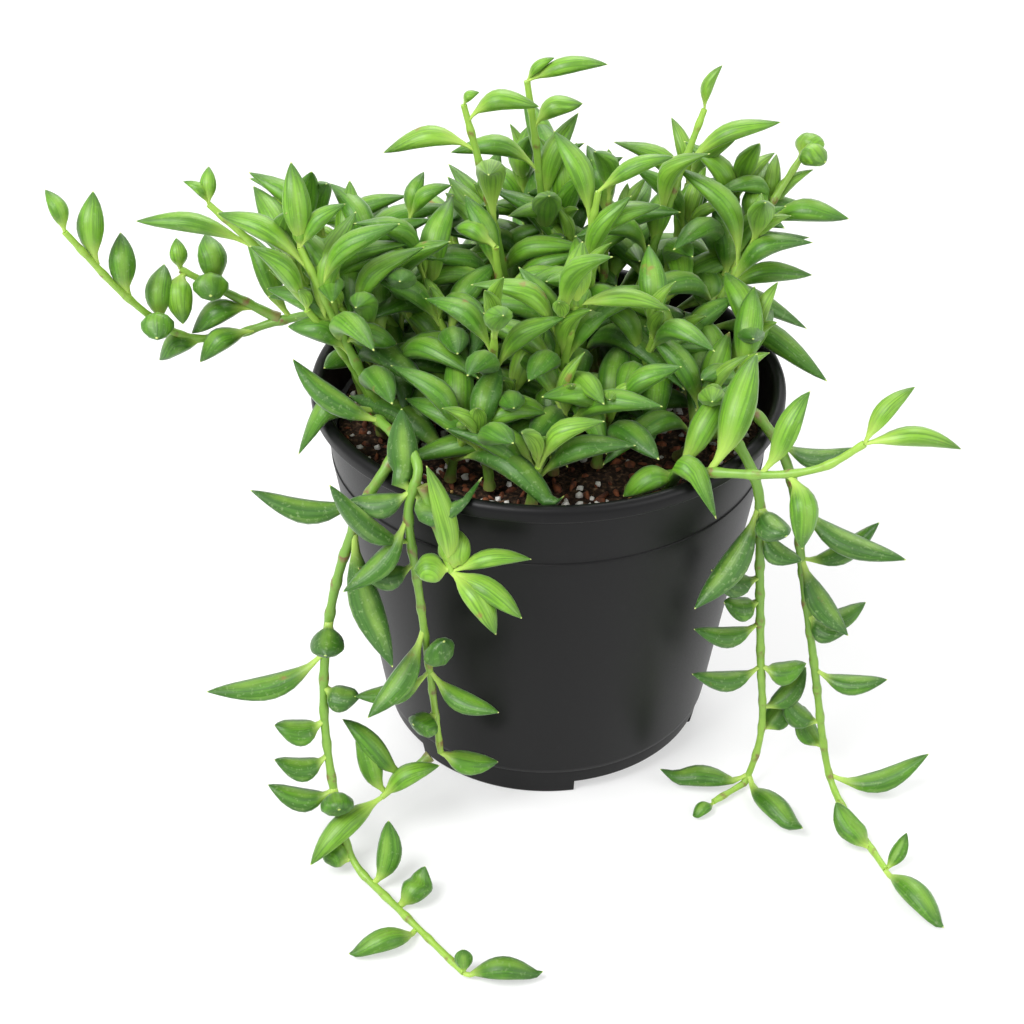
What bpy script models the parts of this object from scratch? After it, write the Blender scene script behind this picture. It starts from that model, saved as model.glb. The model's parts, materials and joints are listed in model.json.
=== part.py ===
"""Potted string of bananas: a moulded nursery pot of potting mix with a trailing succulent.

The pot stands on three foot pads on the XY plane, with its axis on Z. Long shoots trail over
the rim, hang down the wall and lie along the surface; short shoots make a mound in the pot.
"""

import math

import bmesh
import bpy
from mathutils import Vector

MM = 0.001
GAP = 0.3  # clearance between neighbouring solids, in mm

# Pot, in mm: a tapered moulded shell with a rolled rim and a raised base on a notched foot.
POT_HEIGHT = 104.0
RIM_RADIUS = 60.0
RIM_BAND = 3.9
RIM_LIP = 3.4
NECK_RADIUS = 57.6
FOOT_RADIUS = 42.7
WALL = 1.2
UPPER_LINE = 85.0
LOWER_STEP = 8.6
STEP_DEPTH = 0.6
BASE_UNDERSIDE = 5.0
FOOT_WALL = 4.0
CENTRE_PAD = 16.0
LEDGE_DROP = 13.0
NOTCH_COUNT = 3
NOTCH_HEIGHT = 4.0
NOTCH_ANGLE = 60.0
FIRST_NOTCH = -49.0
DRAIN_COUNT = 6
DRAIN_RADIUS = 4.0
DRAIN_RING = 27.0
STEPS = 48
EDGE = 0.5
DOME_SHOULDER = (36.0, 0.6)

# Potting mix, in mm.
SOIL_TOP = 91.4
SOIL_DOME = 1.0

# Shoots, in mm and degrees. A heading of 0 is +X and one of 90 is +Y; a rise of 0 is level.
RIGHT = 0
AWAY = 90
LEFT = 180
TOWARD = -90
FOOT_HEIGHT = SOIL_TOP + SOIL_DOME + 1.1
SHOOT_THICK = 1.35
SHOOT_THIN = 0.8
SHOOT_SPACING = 6.0
CURVE_STEPS = 16
LIE_HEIGHT = 1.6
SHOULDER = 2.0
CLIMB_POWER = 4
LIFT_POWER = 6
HANG_SHARES = (0.12, 0.4, 0.7, 1.0)
LIE_SHARES = (0.3, 0.65, 1.0)
GOLDEN_ANGLE = 137.5

# Leaves, in mm where they are lengths: a longer leaf is wider, and every leaf is bowed upwards.
LEAF_POINTS = 8
JOINED_LEAF_POINTS = 6
LEAF_WIDTH = 2.5
WIDTH_PER_LENGTH = 0.15
LEAF_BOW = 0.08
PETIOLE = 0.24
LEAF_TIP = 0.05

# Standing shoots: foot heading and distance from the axis, height gained, heading and reach of the
# lean, and its bend, where 1 leans evenly and 2 mostly at the tip.
STANDING = {
    "stem_tall": (AWAY, 26, 79, LEFT, 6, 2.0),
    "stem_arching": (120, 16, 78, LEFT, 13, 1.5),
    "stem_middle": (35, 8, 60, RIGHT, 5, 2.0),
    "stem_right_upright": (40, 22, 72, 30, 24, 1.2),
    "stem_right_back": (25, 36, 54, 35, 38, 1.2),
    "stem_left_upright": (205, 38, 55, LEFT, 24, 0.8),
    "stem_left_arc": (LEFT, 32, 58, LEFT, 50, 1.1),
    "stem_rosette": (TOWARD, 16, 44, -45, 9, 1.0),
}

# Reaching shoots: foot heading and distance, height over the rim, heading and length of the reach,
# sideways swing, sag past the rim and lift of the tip.
REACHING = {
    "stem_left_reach": (145, 25, 14, 190, 98, -8, 13, 26),
    "stem_right_reach": (-60, 40, 4, -20, 55, -5, 0, 11),
}

# Trailing shoots: foot heading and distance, clearance over the rim, heading where they cross it,
# drift of that heading on the way down and sway halfway, spread from the rim at the bottom,
# height of the bottom, and heading and length of the run along the surface.
TRAILING = {
    "stem_front_hanging": (-165, 42, 5, -121, 4, 0, -6, 22, 0, 0),
    "stem_long_trailer": (-140, 42, 2, -129, 4, -9, 22, 7, -50, 48),
    "stem_right_hanging": (-32, 38, 2, -39, 6, 0, 4, 18, -140, 16),
    "stem_right_trailer": (-18, 38, 2, -27, 0, 0, 20, 8, -70, 35),
}

# Side shoots: the shoot that carries it and the place along it, heading, reach and drop.
SIDE = {
    "stem_front_star": ("stem_front_hanging", 0.38, -45, 9, 20),
}

# Leaves that stand clear, by shoot: place along the shoot, heading, rise and length.
LEAVES = {
    "tall": [(0.85, RIGHT, 30, 13), (1.0, RIGHT, 15, 20)],
    "arching": [(0.85, LEFT, 0, 22), (0.95, RIGHT, 15, 17)],
    "middle": [(1.0, RIGHT, 30, 20)],
    "right_upright": [(0.8, RIGHT, 30, 26)],
    "right_back": [(0.4, RIGHT, 15, 24), (0.7, -15, 15, 23), (1.0, -45, 15, 8)],
    "left_reach": [(0.5, 210, -15, 16), (0.9, AWAY, 75, 18)],
    "left_upright": [(0.8, RIGHT, 45, 26), (1.0, 105, 75, 20)],
    "left_arc": [(0.8, LEFT, 15, 29)],
    "front_hanging": [(0.2, 165, 30, 25), (0.5, 195, 45, 26), (0.7, 225, -45, 25), (0.8, -30, -15, 20)],
    "front_star": [(0.9, 135, 75, 25), (1.0, -30, -15, 20)],
    "long_trailer": [(0.2, LEFT, 0, 27), (0.25, -60, -60, 34), (0.45, 195, -15, 30)]
    + [(0.8, 60, 60, 17), (0.9, 210, 0, 18), (1.0, RIGHT, 0, 19)],
    "right_reach": [(0.25, 45, 45, 24), (0.6, 30, 60, 22), (1.0, RIGHT, 0, 22)],
    "right_hanging": [(0.3, 225, -45, 29), (0.9, -60, 0, 24)],
    "right_trailer": [(0.4, RIGHT, 30, 21), (0.8, RIGHT, 15, 26), (1.0, -60, 0, 23)],
    "rosette": [(0.5, 165, 30, 27), (0.65, 150, 60, 24)],
}

# Short shoots of the mound: foot heading and distance, height gained and heading of the lean, then
# leaf count, leaf length and the first leaf's heading. Their leaves wind round by the golden angle.
MOUND = {
    "shoot_left": (170, 45, 14, 210, 4, 18, 100),
    "shoot_back_left": (123, 40, 30, 120, 5, 24, 80),
    "shoot_back_right": (68, 43, 28, 60, 5, 24, 10),
    "shoot_front": (-112, 37, 18, -110, 4, 22, 20),
    "shoot_right": (RIGHT, 44, 20, RIGHT, 4, 24, 60),
    "shoot_front_right": (-63, 27, 20, -60, 4, 24, -60),
    "shoot_centre": (197, 21, 30, 170, 5, 24, 0),
}
MOUND_REACH = 7.0
MOUND_BEND = 1.8
MOUND_SHARES = (0.35, 0.95)
MOUND_RISES = (25, 45)
MOUND_TAPER = 0.3


def clear_scene():
    """Start from an empty scene."""
    for item in list(bpy.data.objects):
        bpy.data.objects.remove(item, do_unlink=True)


def new_collection(name):
    """A collection of its own under the scene."""
    group = bpy.data.collections.new(name)
    bpy.context.scene.collection.children.link(group)
    return group


def new_material(name, colour, roughness, metallic=0.0):
    """A Principled material in one plain colour."""
    finish = bpy.data.materials.new(name)
    finish.use_nodes = True
    shader = finish.node_tree.nodes["Principled BSDF"]
    shader.inputs["Base Color"].default_value = (*colour, 1.0)
    shader.inputs["Roughness"].default_value = roughness
    shader.inputs["Metallic"].default_value = metallic
    return finish


def turned(name, profile, collection, finish):
    """A profile of (radius, height) points in mm, turned once round Z with a Screw modifier."""
    mesh = bpy.data.meshes.new(name)
    points = [(radius * MM, 0.0, height * MM) for radius, height in profile]
    edges = [(i, i + 1) for i in range(len(points) - 1)]
    mesh.from_pydata(points, edges, [])
    body = bpy.data.objects.new(name, mesh)
    collection.objects.link(body)
    screw = body.modifiers.new("turn", "SCREW")
    screw.steps = STEPS
    screw.render_steps = STEPS
    screw.use_merge_vertices = True
    screw.merge_threshold = 0.00001
    screw.use_smooth_shade = True
    mesh.materials.append(finish)
    return body


def wall_radius(height):
    """Outer radius of the tapered wall at a height, in mm."""
    share = height / (POT_HEIGHT - RIM_BAND)
    return FOOT_RADIUS + STEP_DEPTH + (NECK_RADIUS - FOOT_RADIUS - STEP_DEPTH) * share


def arc_points(centre, radius, start, end, count):
    """Points on an arc of the profile, angles in degrees."""
    angles = [math.radians(start + (end - start) * i / count) for i in range(count + 1)]
    return [(centre[0] + radius * math.cos(a), centre[1] + radius * math.sin(a)) for a in angles]


def pot_profile():
    """The pot's closed section: down the outer side, under the base and up the inner side."""
    lip = RIM_LIP / 2
    under_rim = POT_HEIGHT - RIM_BAND
    ledge = POT_HEIGHT - LEDGE_DROP
    outer = arc_points((RIM_RADIUS - lip, POT_HEIGHT - lip), lip, 120, 0, 4)
    outer += [
        (RIM_RADIUS, under_rim + EDGE),
        (RIM_RADIUS - EDGE, under_rim),
        (NECK_RADIUS, under_rim),
        (wall_radius(UPPER_LINE) + EDGE / 2, UPPER_LINE),
        (wall_radius(UPPER_LINE), UPPER_LINE - EDGE),
        (wall_radius(LOWER_STEP), LOWER_STEP),
        (wall_radius(LOWER_STEP) - STEP_DEPTH, LOWER_STEP - EDGE),
        (FOOT_RADIUS, EDGE),
        (FOOT_RADIUS - EDGE, 0.0),
    ]
    inner_foot = FOOT_RADIUS - FOOT_WALL
    under = [
        (inner_foot, 0.0),
        (inner_foot - 0.8, BASE_UNDERSIDE),
        (CENTRE_PAD + 0.8, BASE_UNDERSIDE),
        (CENTRE_PAD, 0.0),
        (0.0, 0.0),
    ]
    inner = [
        (0.0, WALL),
        (CENTRE_PAD - WALL, WALL),
        (CENTRE_PAD - WALL, BASE_UNDERSIDE + WALL),
        (wall_radius(BASE_UNDERSIDE + WALL) - 2 * WALL, BASE_UNDERSIDE + WALL),
        (wall_radius(ledge) - WALL - 1.0, ledge - 1.0),
        (wall_radius(ledge) - WALL, ledge),
        (RIM_RADIUS - RIM_LIP, POT_HEIGHT - RIM_LIP),
        outer[0],
    ]
    return outer + under + inner


def cutter(name, mesh, collection):
    """A solid that only cuts."""
    tool = bpy.data.objects.new(name, mesh)
    tool.hide_render = True
    tool.display_type = "WIRE"
    collection.objects.link(tool)
    return tool


def notch_mesh():
    """Three wedges that open the foot ring, each reaching out past its wall."""
    mesh = bpy.data.meshes.new("foot_notches")
    form = bmesh.new()
    inner = (FOOT_RADIUS - FOOT_WALL - 2.0) * MM
    outer = (FOOT_RADIUS + 4.0) * MM
    slices = 6
    for number in range(NOTCH_COUNT):
        middle = FIRST_NOTCH + number * 360.0 / NOTCH_COUNT
        rings = []
        for i in range(slices + 1):
            angle = math.radians(middle + NOTCH_ANGLE * (i / slices - 0.5))
            way = Vector((math.cos(angle), math.sin(angle), 0.0))
            corners = [(inner, -1.0), (outer, -1.0), (outer, NOTCH_HEIGHT), (inner, NOTCH_HEIGHT)]
            rings.append([form.verts.new(way * r + Vector((0, 0, h * MM))) for r, h in corners])
        for one, two in zip(rings, rings[1:]):
            for k in range(4):
                form.faces.new((one[k], one[(k + 1) % 4], two[(k + 1) % 4], two[k]))
        form.faces.new(rings[0][::-1])
        form.faces.new(rings[-1])
    bmesh.ops.recalc_face_normals(form, faces=form.faces)
    form.to_mesh(mesh)
    form.free()
    return mesh


def drain_mesh():
    """A ring of round drills through the base."""
    mesh = bpy.data.meshes.new("drain_drills")
    form = bmesh.new()
    for number in range(DRAIN_COUNT):
        angle = 2 * math.pi * number / DRAIN_COUNT
        made = bmesh.ops.create_cone(
            form,
            cap_ends=True,
            segments=12,
            radius1=DRAIN_RADIUS * MM,
            radius2=DRAIN_RADIUS * MM,
            depth=3 * WALL * MM,
        )
        ring = Vector((math.cos(angle), math.sin(angle), 0.0)) * DRAIN_RING
        place = ring + Vector((0.0, 0.0, BASE_UNDERSIDE + WALL / 2))
        bmesh.ops.translate(form, verts=made["verts"], vec=place * MM)
    form.to_mesh(mesh)
    form.free()
    return mesh


def build_pot(collection, cutters, finish):
    """The moulded pot, notched at the foot and drained through the base."""
    pot = turned("pot", pot_profile(), collection, finish)
    tools = (
        cutter("foot_notches", notch_mesh(), cutters),
        cutter("drain_drills", drain_mesh(), cutters),
    )
    for tool in tools:
        cut = pot.modifiers.new(tool.name, "BOOLEAN")
        cut.operation = "DIFFERENCE"
        cut.solver = "EXACT"
        cut.object = tool
    return pot


def build_soil(collection, finish):
    """The plug of potting mix that fills the pot to below the rim."""
    bottom = BASE_UNDERSIDE + WALL + GAP
    side = WALL + 2 * GAP + 1.0
    profile = [
        (0.0, SOIL_TOP + SOIL_DOME),
        (DOME_SHOULDER[0], SOIL_TOP + DOME_SHOULDER[1] * SOIL_DOME),
        (wall_radius(SOIL_TOP) - side - EDGE, SOIL_TOP),
        (wall_radius(SOIL_TOP) - side, SOIL_TOP - 1.0),
        (wall_radius(bottom) - 2 * WALL - 2 * GAP, bottom),
        (CENTRE_PAD - WALL - GAP, bottom),
        (CENTRE_PAD - WALL - GAP, WALL + GAP),
        (0.0, WALL + GAP),
    ]
    return turned("soil", profile, collection, finish)


def level_way(heading):
    """The level unit vector of a heading in degrees."""
    turn = math.radians(heading)
    return Vector((math.cos(turn), math.sin(turn), 0.0))


def around(heading, distance, height):
    """A point, in mm, by its heading from the pot's axis, its distance from it and its height."""
    return level_way(heading) * distance + Vector((0.0, 0.0, height))


def standing_route(heading, distance, gain, lean, reach, bend):
    """A shoot that stands up from the mix and leans over towards its tip."""
    foot = around(heading, distance, FOOT_HEIGHT)
    shares = [i / 4 for i in range(5)]
    return [foot + level_way(lean) * reach * t**bend + Vector((0.0, 0.0, gain * t)) for t in shares]


def reaching_route(heading, distance, crest, way, reach, swing, sag, lift):
    """A shoot that climbs over the rim, sags as it reaches out and lifts its tip."""
    foot = around(heading, distance, FOOT_HEIGHT)
    climb = POT_HEIGHT + crest - FOOT_HEIGHT
    route = []
    for t in [i / 8 for i in range(9)]:
        height = climb * (1 - (1 - t) ** CLIMB_POWER) + lift * t**LIFT_POWER
        height -= sag * math.sin(math.pi * t**2) ** 2
        aside = level_way(way + 90) * swing * math.sin(math.pi * t)
        route.append(foot + level_way(way) * reach * t + aside + Vector((0.0, 0.0, height)))
    return route


def trailing_route(heading, distance, clear, cross, drift, sway, spread, low, lie, run):
    """A shoot that climbs over the rim, hangs down the wall and, if long, lies on the surface."""
    top = POT_HEIGHT + clear
    inside = RIM_RADIUS - RIM_LIP - 3 * SHOULDER
    route = [
        around(heading, distance, FOOT_HEIGHT),
        around((heading + cross) / 2, inside, top),
        around(cross, RIM_RADIUS - RIM_LIP / 2, top + SHOULDER / 2),
    ]
    for t in HANG_SHARES:
        way = cross + drift * t + sway * math.sin(math.pi * t)
        outside = RIM_RADIUS + 2 * SHOULDER + spread * t
        route.append(around(way, outside, top + (low - top) * t))
    if run > 0:
        touch = Vector((route[-1].x, route[-1].y, LIE_HEIGHT))
        route += [touch + level_way(lie) * run * t for t in LIE_SHARES]
    return route


def side_route(carrier, share, heading, reach, drop):
    """A shoot that leaves another one, a gap clear of it, and bends down."""
    spot = place_on(smooth_path(carrier, SHOOT_SPACING), share)[0]
    start = spot + level_way(heading) * (2 * SHOOT_THICK + GAP)
    shares = [i / 2 for i in range(3)]
    return [start + level_way(heading) * reach * t - Vector((0.0, 0.0, drop * t)) for t in shares]


def shoot_routes():
    """The long shoots' routes in mm, by name."""
    routes = {name: standing_route(*habit) for name, habit in STANDING.items()}
    routes.update({name: reaching_route(*habit) for name, habit in REACHING.items()})
    routes.update({name: trailing_route(*habit) for name, habit in TRAILING.items()})
    for name, (carrier, *habit) in SIDE.items():
        routes[name] = side_route(routes[carrier], *habit)
    return routes


def smooth_slope(knots, i):
    """The slope of a smooth curve at one of its points."""
    before = knots[max(i - 1, 0)]
    after = knots[min(i + 1, len(knots) - 1)]
    return (after - before) / (2 if 0 < i < len(knots) - 1 else 1)


def smooth_path(route, spacing):
    """Evenly spaced points, in mm, on a smooth curve through a route."""
    fine = []
    for i in range(len(route) - 1):
        leaving = smooth_slope(route, i)
        arriving = smooth_slope(route, i + 1)
        for k in range(CURVE_STEPS):
            t = k / CURVE_STEPS
            fine.append(
                (2 * t**3 - 3 * t**2 + 1) * route[i]
                + (t**3 - 2 * t**2 + t) * leaving
                + (3 * t**2 - 2 * t**3) * route[i + 1]
                + (t**3 - t**2) * arriving
            )
    fine.append(route[-1])
    lengths = [0.0]
    for one, two in zip(fine, fine[1:]):
        lengths.append(lengths[-1] + (two - one).length)
    count = max(3, round(lengths[-1] / spacing))
    path = []
    j = 0
    for i in range(count + 1):
        want = lengths[-1] * i / count
        while j < len(fine) - 2 and lengths[j + 1] < want:
            j += 1
        part = (want - lengths[j]) / (lengths[j + 1] - lengths[j])
        path.append(fine[j].lerp(fine[j + 1], min(part, 1.0)))
    return path


def tube(name, path, radii, collection, finish):
    """A round rod of varying radius along a path in mm, with closed ends."""
    data = bpy.data.curves.new(name, "CURVE")
    data.dimensions = "3D"
    data.bevel_depth = max(radii) * MM
    data.bevel_resolution = 2
    data.use_fill_caps = True
    line = data.splines.new("POLY")
    line.points.add(len(path) - 1)
    for knot, place, radius in zip(line.points, path, radii):
        knot.co = (*(place * MM), 1.0)
        knot.radius = radius / max(radii)
    data.materials.append(finish)
    rod = bpy.data.objects.new(name, data)
    collection.objects.link(rod)
    return rod


def leaf_width(length):
    """Width of a leaf at its middle, in mm."""
    return LEAF_WIDTH + WIDTH_PER_LENGTH * length


def leaf_radius(share, width):
    """Radius of a leaf along its length: a thin stalk, a full middle and a sharp tip."""
    full = math.sin(math.pi * share**0.92) ** 0.85 if share < 1.0 else 0.0
    return width / 2 * max(full, PETIOLE * (1.0 - share), LEAF_TIP)


def sloping_way(heading, rise):
    """The unit vector of a heading and a rise."""
    lift = math.radians(rise)
    return level_way(heading) * math.cos(lift) + Vector((0.0, 0.0, math.sin(lift)))


def leaf_path(base, heading, rise, length, count):
    """Points along a leaf's middle, closer together at its ends: a chord bowed upwards."""
    along = sloping_way(heading, rise)
    across = sloping_way(heading, rise + 90)
    shares = [(1 - math.cos(math.pi * i / (count - 1))) / 2 for i in range(count)]
    path = [base + length * (along * t + across * LEAF_BOW * math.sin(math.pi * t)) for t in shares]
    return path, shares


def place_on(path, share):
    """The point and the direction of a path at a share of its length."""
    spot = share * (len(path) - 1)
    low = min(int(spot), len(path) - 2)
    return path[low].lerp(path[low + 1], spot - low), (path[low + 1] - path[low]).normalized()


def leaf_base(path, share, shoot_radius, way, stalk):
    """Where a leaf starts, a gap clear of its shoot."""
    spot, tangent = place_on(path, share)
    if share >= 1.0:
        return spot + way * (shoot_radius + GAP)
    lean = way.dot(tangent)
    side = (way - tangent * lean).normalized()
    return spot + side * (shoot_radius + GAP + stalk * abs(lean))


def shoot_radius(share):
    """Radius of a shoot at a share of its length, in mm."""
    return SHOOT_THICK + (SHOOT_THIN - SHOOT_THICK) * share


def build_stems(collection, finish):
    """The long shoots, each a tapering rod."""
    paths = {}
    for name, route in shoot_routes().items():
        path = smooth_path(route, SHOOT_SPACING)
        radii = [shoot_radius(i / (len(path) - 1)) for i in range(len(path))]
        tube(name, path, radii, collection, finish)
        paths[name] = path
    return paths


def build_leaves(paths, collection, finish):
    """The leaves that stand clear, numbered along each shoot."""
    setting_off = math.degrees(math.atan(math.pi * LEAF_BOW))
    for shoot, leaves in LEAVES.items():
        for number, (share, heading, rise, length) in enumerate(leaves, 1):
            width = leaf_width(length)
            way = sloping_way(heading, rise + setting_off)
            stalk = leaf_radius(0.0, width)
            base = leaf_base(paths[f"stem_{shoot}"], share, shoot_radius(share), way, stalk)
            path, shares = leaf_path(base, heading, rise, length, LEAF_POINTS)
            radii = [leaf_radius(t, width) for t in shares]
            tube(f"leaf_{shoot}_{number}", path, radii, collection, finish)


def solid_from_curve(rod):
    """A curve object's closed mesh, with its caps welded."""
    seen = rod.evaluated_get(bpy.context.evaluated_depsgraph_get())
    mesh = bpy.data.meshes.new_from_object(seen)
    form = bmesh.new()
    form.from_mesh(mesh)
    bmesh.ops.remove_doubles(form, verts=form.verts, dist=0.00001)
    form.to_mesh(mesh)
    form.free()
    solid = bpy.data.objects.new(rod.name + "_solid", mesh)
    solid.matrix_world = rod.matrix_world
    bpy.data.objects.remove(rod, do_unlink=True)
    return solid


def between(ends, share):
    """The value at a share of the way between two ends."""
    return ends[0] + (ends[1] - ends[0]) * share


def join_leaf(shoot, name, path, radii, cutters, finish):
    """Join a leaf to its shoot with a Boolean union."""
    blade = solid_from_curve(tube(name, path, radii, cutters, finish))
    cutters.objects.link(blade)
    blade.hide_render = True
    blade.display_type = "WIRE"
    join = shoot.modifiers.new(name, "BOOLEAN")
    join.operation = "UNION"
    join.solver = "EXACT"
    join.object = blade


def build_mound(collection, cutters, finish):
    """The short shoots of the mound, whose leaves are joined to them."""
    for name, (heading, distance, gain, lean, count, length, first) in MOUND.items():
        path = smooth_path(
            standing_route(heading, distance, gain, lean, MOUND_REACH, MOUND_BEND), SHOOT_SPACING
        )
        radii = [shoot_radius(i / (len(path) - 1)) for i in range(len(path))]
        shoot = solid_from_curve(tube(name, path, radii, cutters, finish))
        shoot.name = name
        collection.objects.link(shoot)
        for number in range(count):
            step = number / (count - 1)
            spot = place_on(path, between(MOUND_SHARES, step))[0]
            own_length = length * (1 - MOUND_TAPER * step)
            own_heading = first + GOLDEN_ANGLE * number
            own_rise = between(MOUND_RISES, step)
            way, shares = leaf_path(spot, own_heading, own_rise, own_length, JOINED_LEAF_POINTS)
            widths = [leaf_radius(t, leaf_width(own_length)) for t in shares]
            join_leaf(shoot, f"{name}_leaf_{number}", way, widths, cutters, finish)


def main():
    """Build the potted plant."""
    clear_scene()
    parts = new_collection("potted_string_of_bananas")
    cutters = new_collection("cutters")
    black = new_material("black_polypropylene", (0.012, 0.012, 0.013), 0.38)
    peat = new_material("potting_mix", (0.045, 0.026, 0.016), 0.95)
    green = new_material("leaf_green", (0.09, 0.26, 0.045), 0.42)
    pale = new_material("stem_green", (0.30, 0.45, 0.12), 0.5)
    build_pot(parts, cutters, black)
    build_soil(parts, peat)
    paths = build_stems(parts, pale)
    build_leaves(paths, parts, green)
    build_mound(parts, cutters, green)


main()
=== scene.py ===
"""Potted string of bananas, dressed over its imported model.

A black moulded nursery pot of potting mix holds a trailing succulent. Its shoots grow by four
habits: they stand, reach over the rim, trail down the wall or leave another shoot's side. Their
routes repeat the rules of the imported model, so each stem and leaf lies where its solid is.
"""

import json
import logging
import math
import random
from dataclasses import dataclass, field, replace
from enum import Enum

import bmesh
import bpy
from mathutils import Matrix, Vector, noise

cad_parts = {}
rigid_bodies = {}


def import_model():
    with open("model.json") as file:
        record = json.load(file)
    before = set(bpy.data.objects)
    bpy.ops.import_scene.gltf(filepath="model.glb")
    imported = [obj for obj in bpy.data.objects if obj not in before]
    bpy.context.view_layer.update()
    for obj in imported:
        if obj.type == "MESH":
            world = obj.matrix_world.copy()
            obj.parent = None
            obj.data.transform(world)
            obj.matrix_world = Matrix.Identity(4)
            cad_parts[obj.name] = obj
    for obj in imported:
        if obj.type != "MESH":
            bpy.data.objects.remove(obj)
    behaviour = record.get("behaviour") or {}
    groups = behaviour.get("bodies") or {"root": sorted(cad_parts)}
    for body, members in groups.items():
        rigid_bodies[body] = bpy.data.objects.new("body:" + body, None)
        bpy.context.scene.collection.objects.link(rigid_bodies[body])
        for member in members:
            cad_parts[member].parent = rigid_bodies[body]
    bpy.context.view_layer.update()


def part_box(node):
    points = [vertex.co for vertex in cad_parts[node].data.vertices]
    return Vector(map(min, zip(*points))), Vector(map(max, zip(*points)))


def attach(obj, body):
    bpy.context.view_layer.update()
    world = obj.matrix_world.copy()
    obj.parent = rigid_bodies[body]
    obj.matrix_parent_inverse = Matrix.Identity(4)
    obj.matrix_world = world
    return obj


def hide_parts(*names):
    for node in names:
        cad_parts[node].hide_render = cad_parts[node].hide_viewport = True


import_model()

LOG = logging.getLogger("potted_string_of_bananas")
MM = 0.001
SOIL_DOME = 1.0
GOLDEN_ANGLE = 137.5
RIGHT = 0
AWAY = 90
LEFT = 180
TOWARD = -90

Tree = bpy.types.NodeTree
Socket = bpy.types.NodeSocket
Stops = tuple[tuple[float, str], ...]

MATH = "ShaderNodeMath"
MIX = "ShaderNodeMix"
BAND = "ShaderNodeMapRange"
NOISE = "ShaderNodeTexNoise"
RAMP = "ShaderNodeValToRGB"
BUMP = "ShaderNodeBump"
ATTRIBUTE = "ShaderNodeAttribute"
FIELD = "GeometryNodeInputNamedAttribute"
STORE = "GeometryNodeStoreNamedAttribute"
PAINT = {"data_type": "RGBA"}
SOFT = {"interpolation_type": "SMOOTHSTEP"}
PRODUCT = {"operation": "MULTIPLY"}
SUM = {"operation": "ADD"}
SCALED_SUM = {"operation": "MULTIPLY_ADD"}


# ---------------------------------------------------------------------------------------------
# Colours, nodes and meshes


def linear(hex_colour: str) -> tuple[float, float, float, float]:
    """Turn an sRGB hex colour into the linear colour that a shader reads.

    Args:
        hex_colour: Six hex digits, such as "4C8A35".

    Returns:
        Linear red, green and blue, with an alpha of 1.
    """
    parts = [int(hex_colour[i : i + 2], 16) / 255 for i in (0, 2, 4)]
    curve = [p / 12.92 if p <= 0.04045 else ((p + 0.055) / 1.055) ** 2.4 for p in parts]
    return (curve[0], curve[1], curve[2], 1.0)


def pattern_scale(size_mm: float) -> float:
    """The scale of a noise whose patches have a real size in mm."""
    return 1.0 / (size_mm * MM)


def fill(tree: Tree, node: bpy.types.Node, inputs: dict) -> None:
    """Set or link a node's inputs.

    Args:
        tree: The node's tree.
        node: The node.
        inputs: A value or another node's output for each input, by name or number.
    """
    for key, value in inputs.items():
        socket = node.inputs[key]
        if isinstance(key, str) and not socket.enabled:
            socket = next(other for other in node.inputs if other.name == key and other.enabled)
        if isinstance(value, Socket):
            tree.links.new(value, socket)
        else:
            socket.default_value = value


def add_node(
    tree: Tree,
    kind: str,
    inputs: dict | None = None,
    output: str | None = None,
    stops: Stops = (),
    **settings: object,
) -> Socket | None:
    """Add a node with its settings and links.

    Args:
        tree: The node tree that gets it.
        kind: The node's type name.
        inputs: A value or another node's output for each input, by name or number.
        output: The output to return, if not the first in use.
        stops: A colour ramp's places with their hex colours, from 0 to 1.
        settings: The node's own properties.

    Returns:
        The output, through which the node itself is reached, or nothing where it has none.
    """
    made = tree.nodes.new(kind)
    for name, value in settings.items():
        setattr(made, name, value)
    for number, (place, colour) in enumerate(stops):
        band = made.color_ramp
        element = band.elements[number] if number < len(band.elements) else band.elements.new(1.0)
        element.position = place
        element.color = linear(colour)
    fill(tree, made, inputs or {})
    if output:
        return made.outputs[output]
    return next((socket for socket in made.outputs if socket.enabled), None)


def new_material(name: str) -> tuple[bpy.types.Material, Tree, bpy.types.Node]:
    """An empty material.

    Args:
        name: The material's name.

    Returns:
        The material, its tree and its Principled shader.
    """
    finish = bpy.data.materials.new(name)
    finish.use_nodes = True
    tree = finish.node_tree
    return finish, tree, tree.nodes["Principled BSDF"]


def new_object(name: str, mesh: bpy.types.Mesh) -> bpy.types.Object:
    """An object at the origin that shows a mesh.

    Args:
        name: The object's name.
        mesh: The mesh.

    Returns:
        The object.
    """
    made = bpy.data.objects.new(name, mesh)
    bpy.context.scene.collection.objects.link(made)
    return made


def settle(made: bpy.types.Object) -> bpy.types.Object:
    """Turn an object's modifiers into plain mesh.

    Args:
        made: An object with modifiers.

    Returns:
        The same object with its evaluated mesh and no modifiers.
    """
    graph = bpy.context.evaluated_depsgraph_get()
    mesh = bpy.data.meshes.new_from_object(made.evaluated_get(graph))
    made.modifiers.clear()
    old = made.data
    made.data = mesh
    mesh.name = made.name
    bpy.data.meshes.remove(old)
    return made


def grow(name: str, mesh: bpy.types.Mesh, tree: Tree, values: dict) -> bpy.types.Object:
    """Run a Geometry Nodes tree on a mesh and keep the result.

    Args:
        name: The new piece's name.
        mesh: The guide mesh that the tree reads.
        tree: The tree.
        values: The tree's inputs, by name.

    Returns:
        The finished piece.
    """
    made = new_object(name, mesh)
    modifier = made.modifiers.new("grow", "NODES")
    modifier.node_group = tree
    for item in tree.interface.items_tree:
        if item.item_type == "SOCKET" and item.in_out == "INPUT" and item.name in values:
            modifier[item.identifier] = values[item.name]
    made.update_tag()
    return settle(made)


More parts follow.
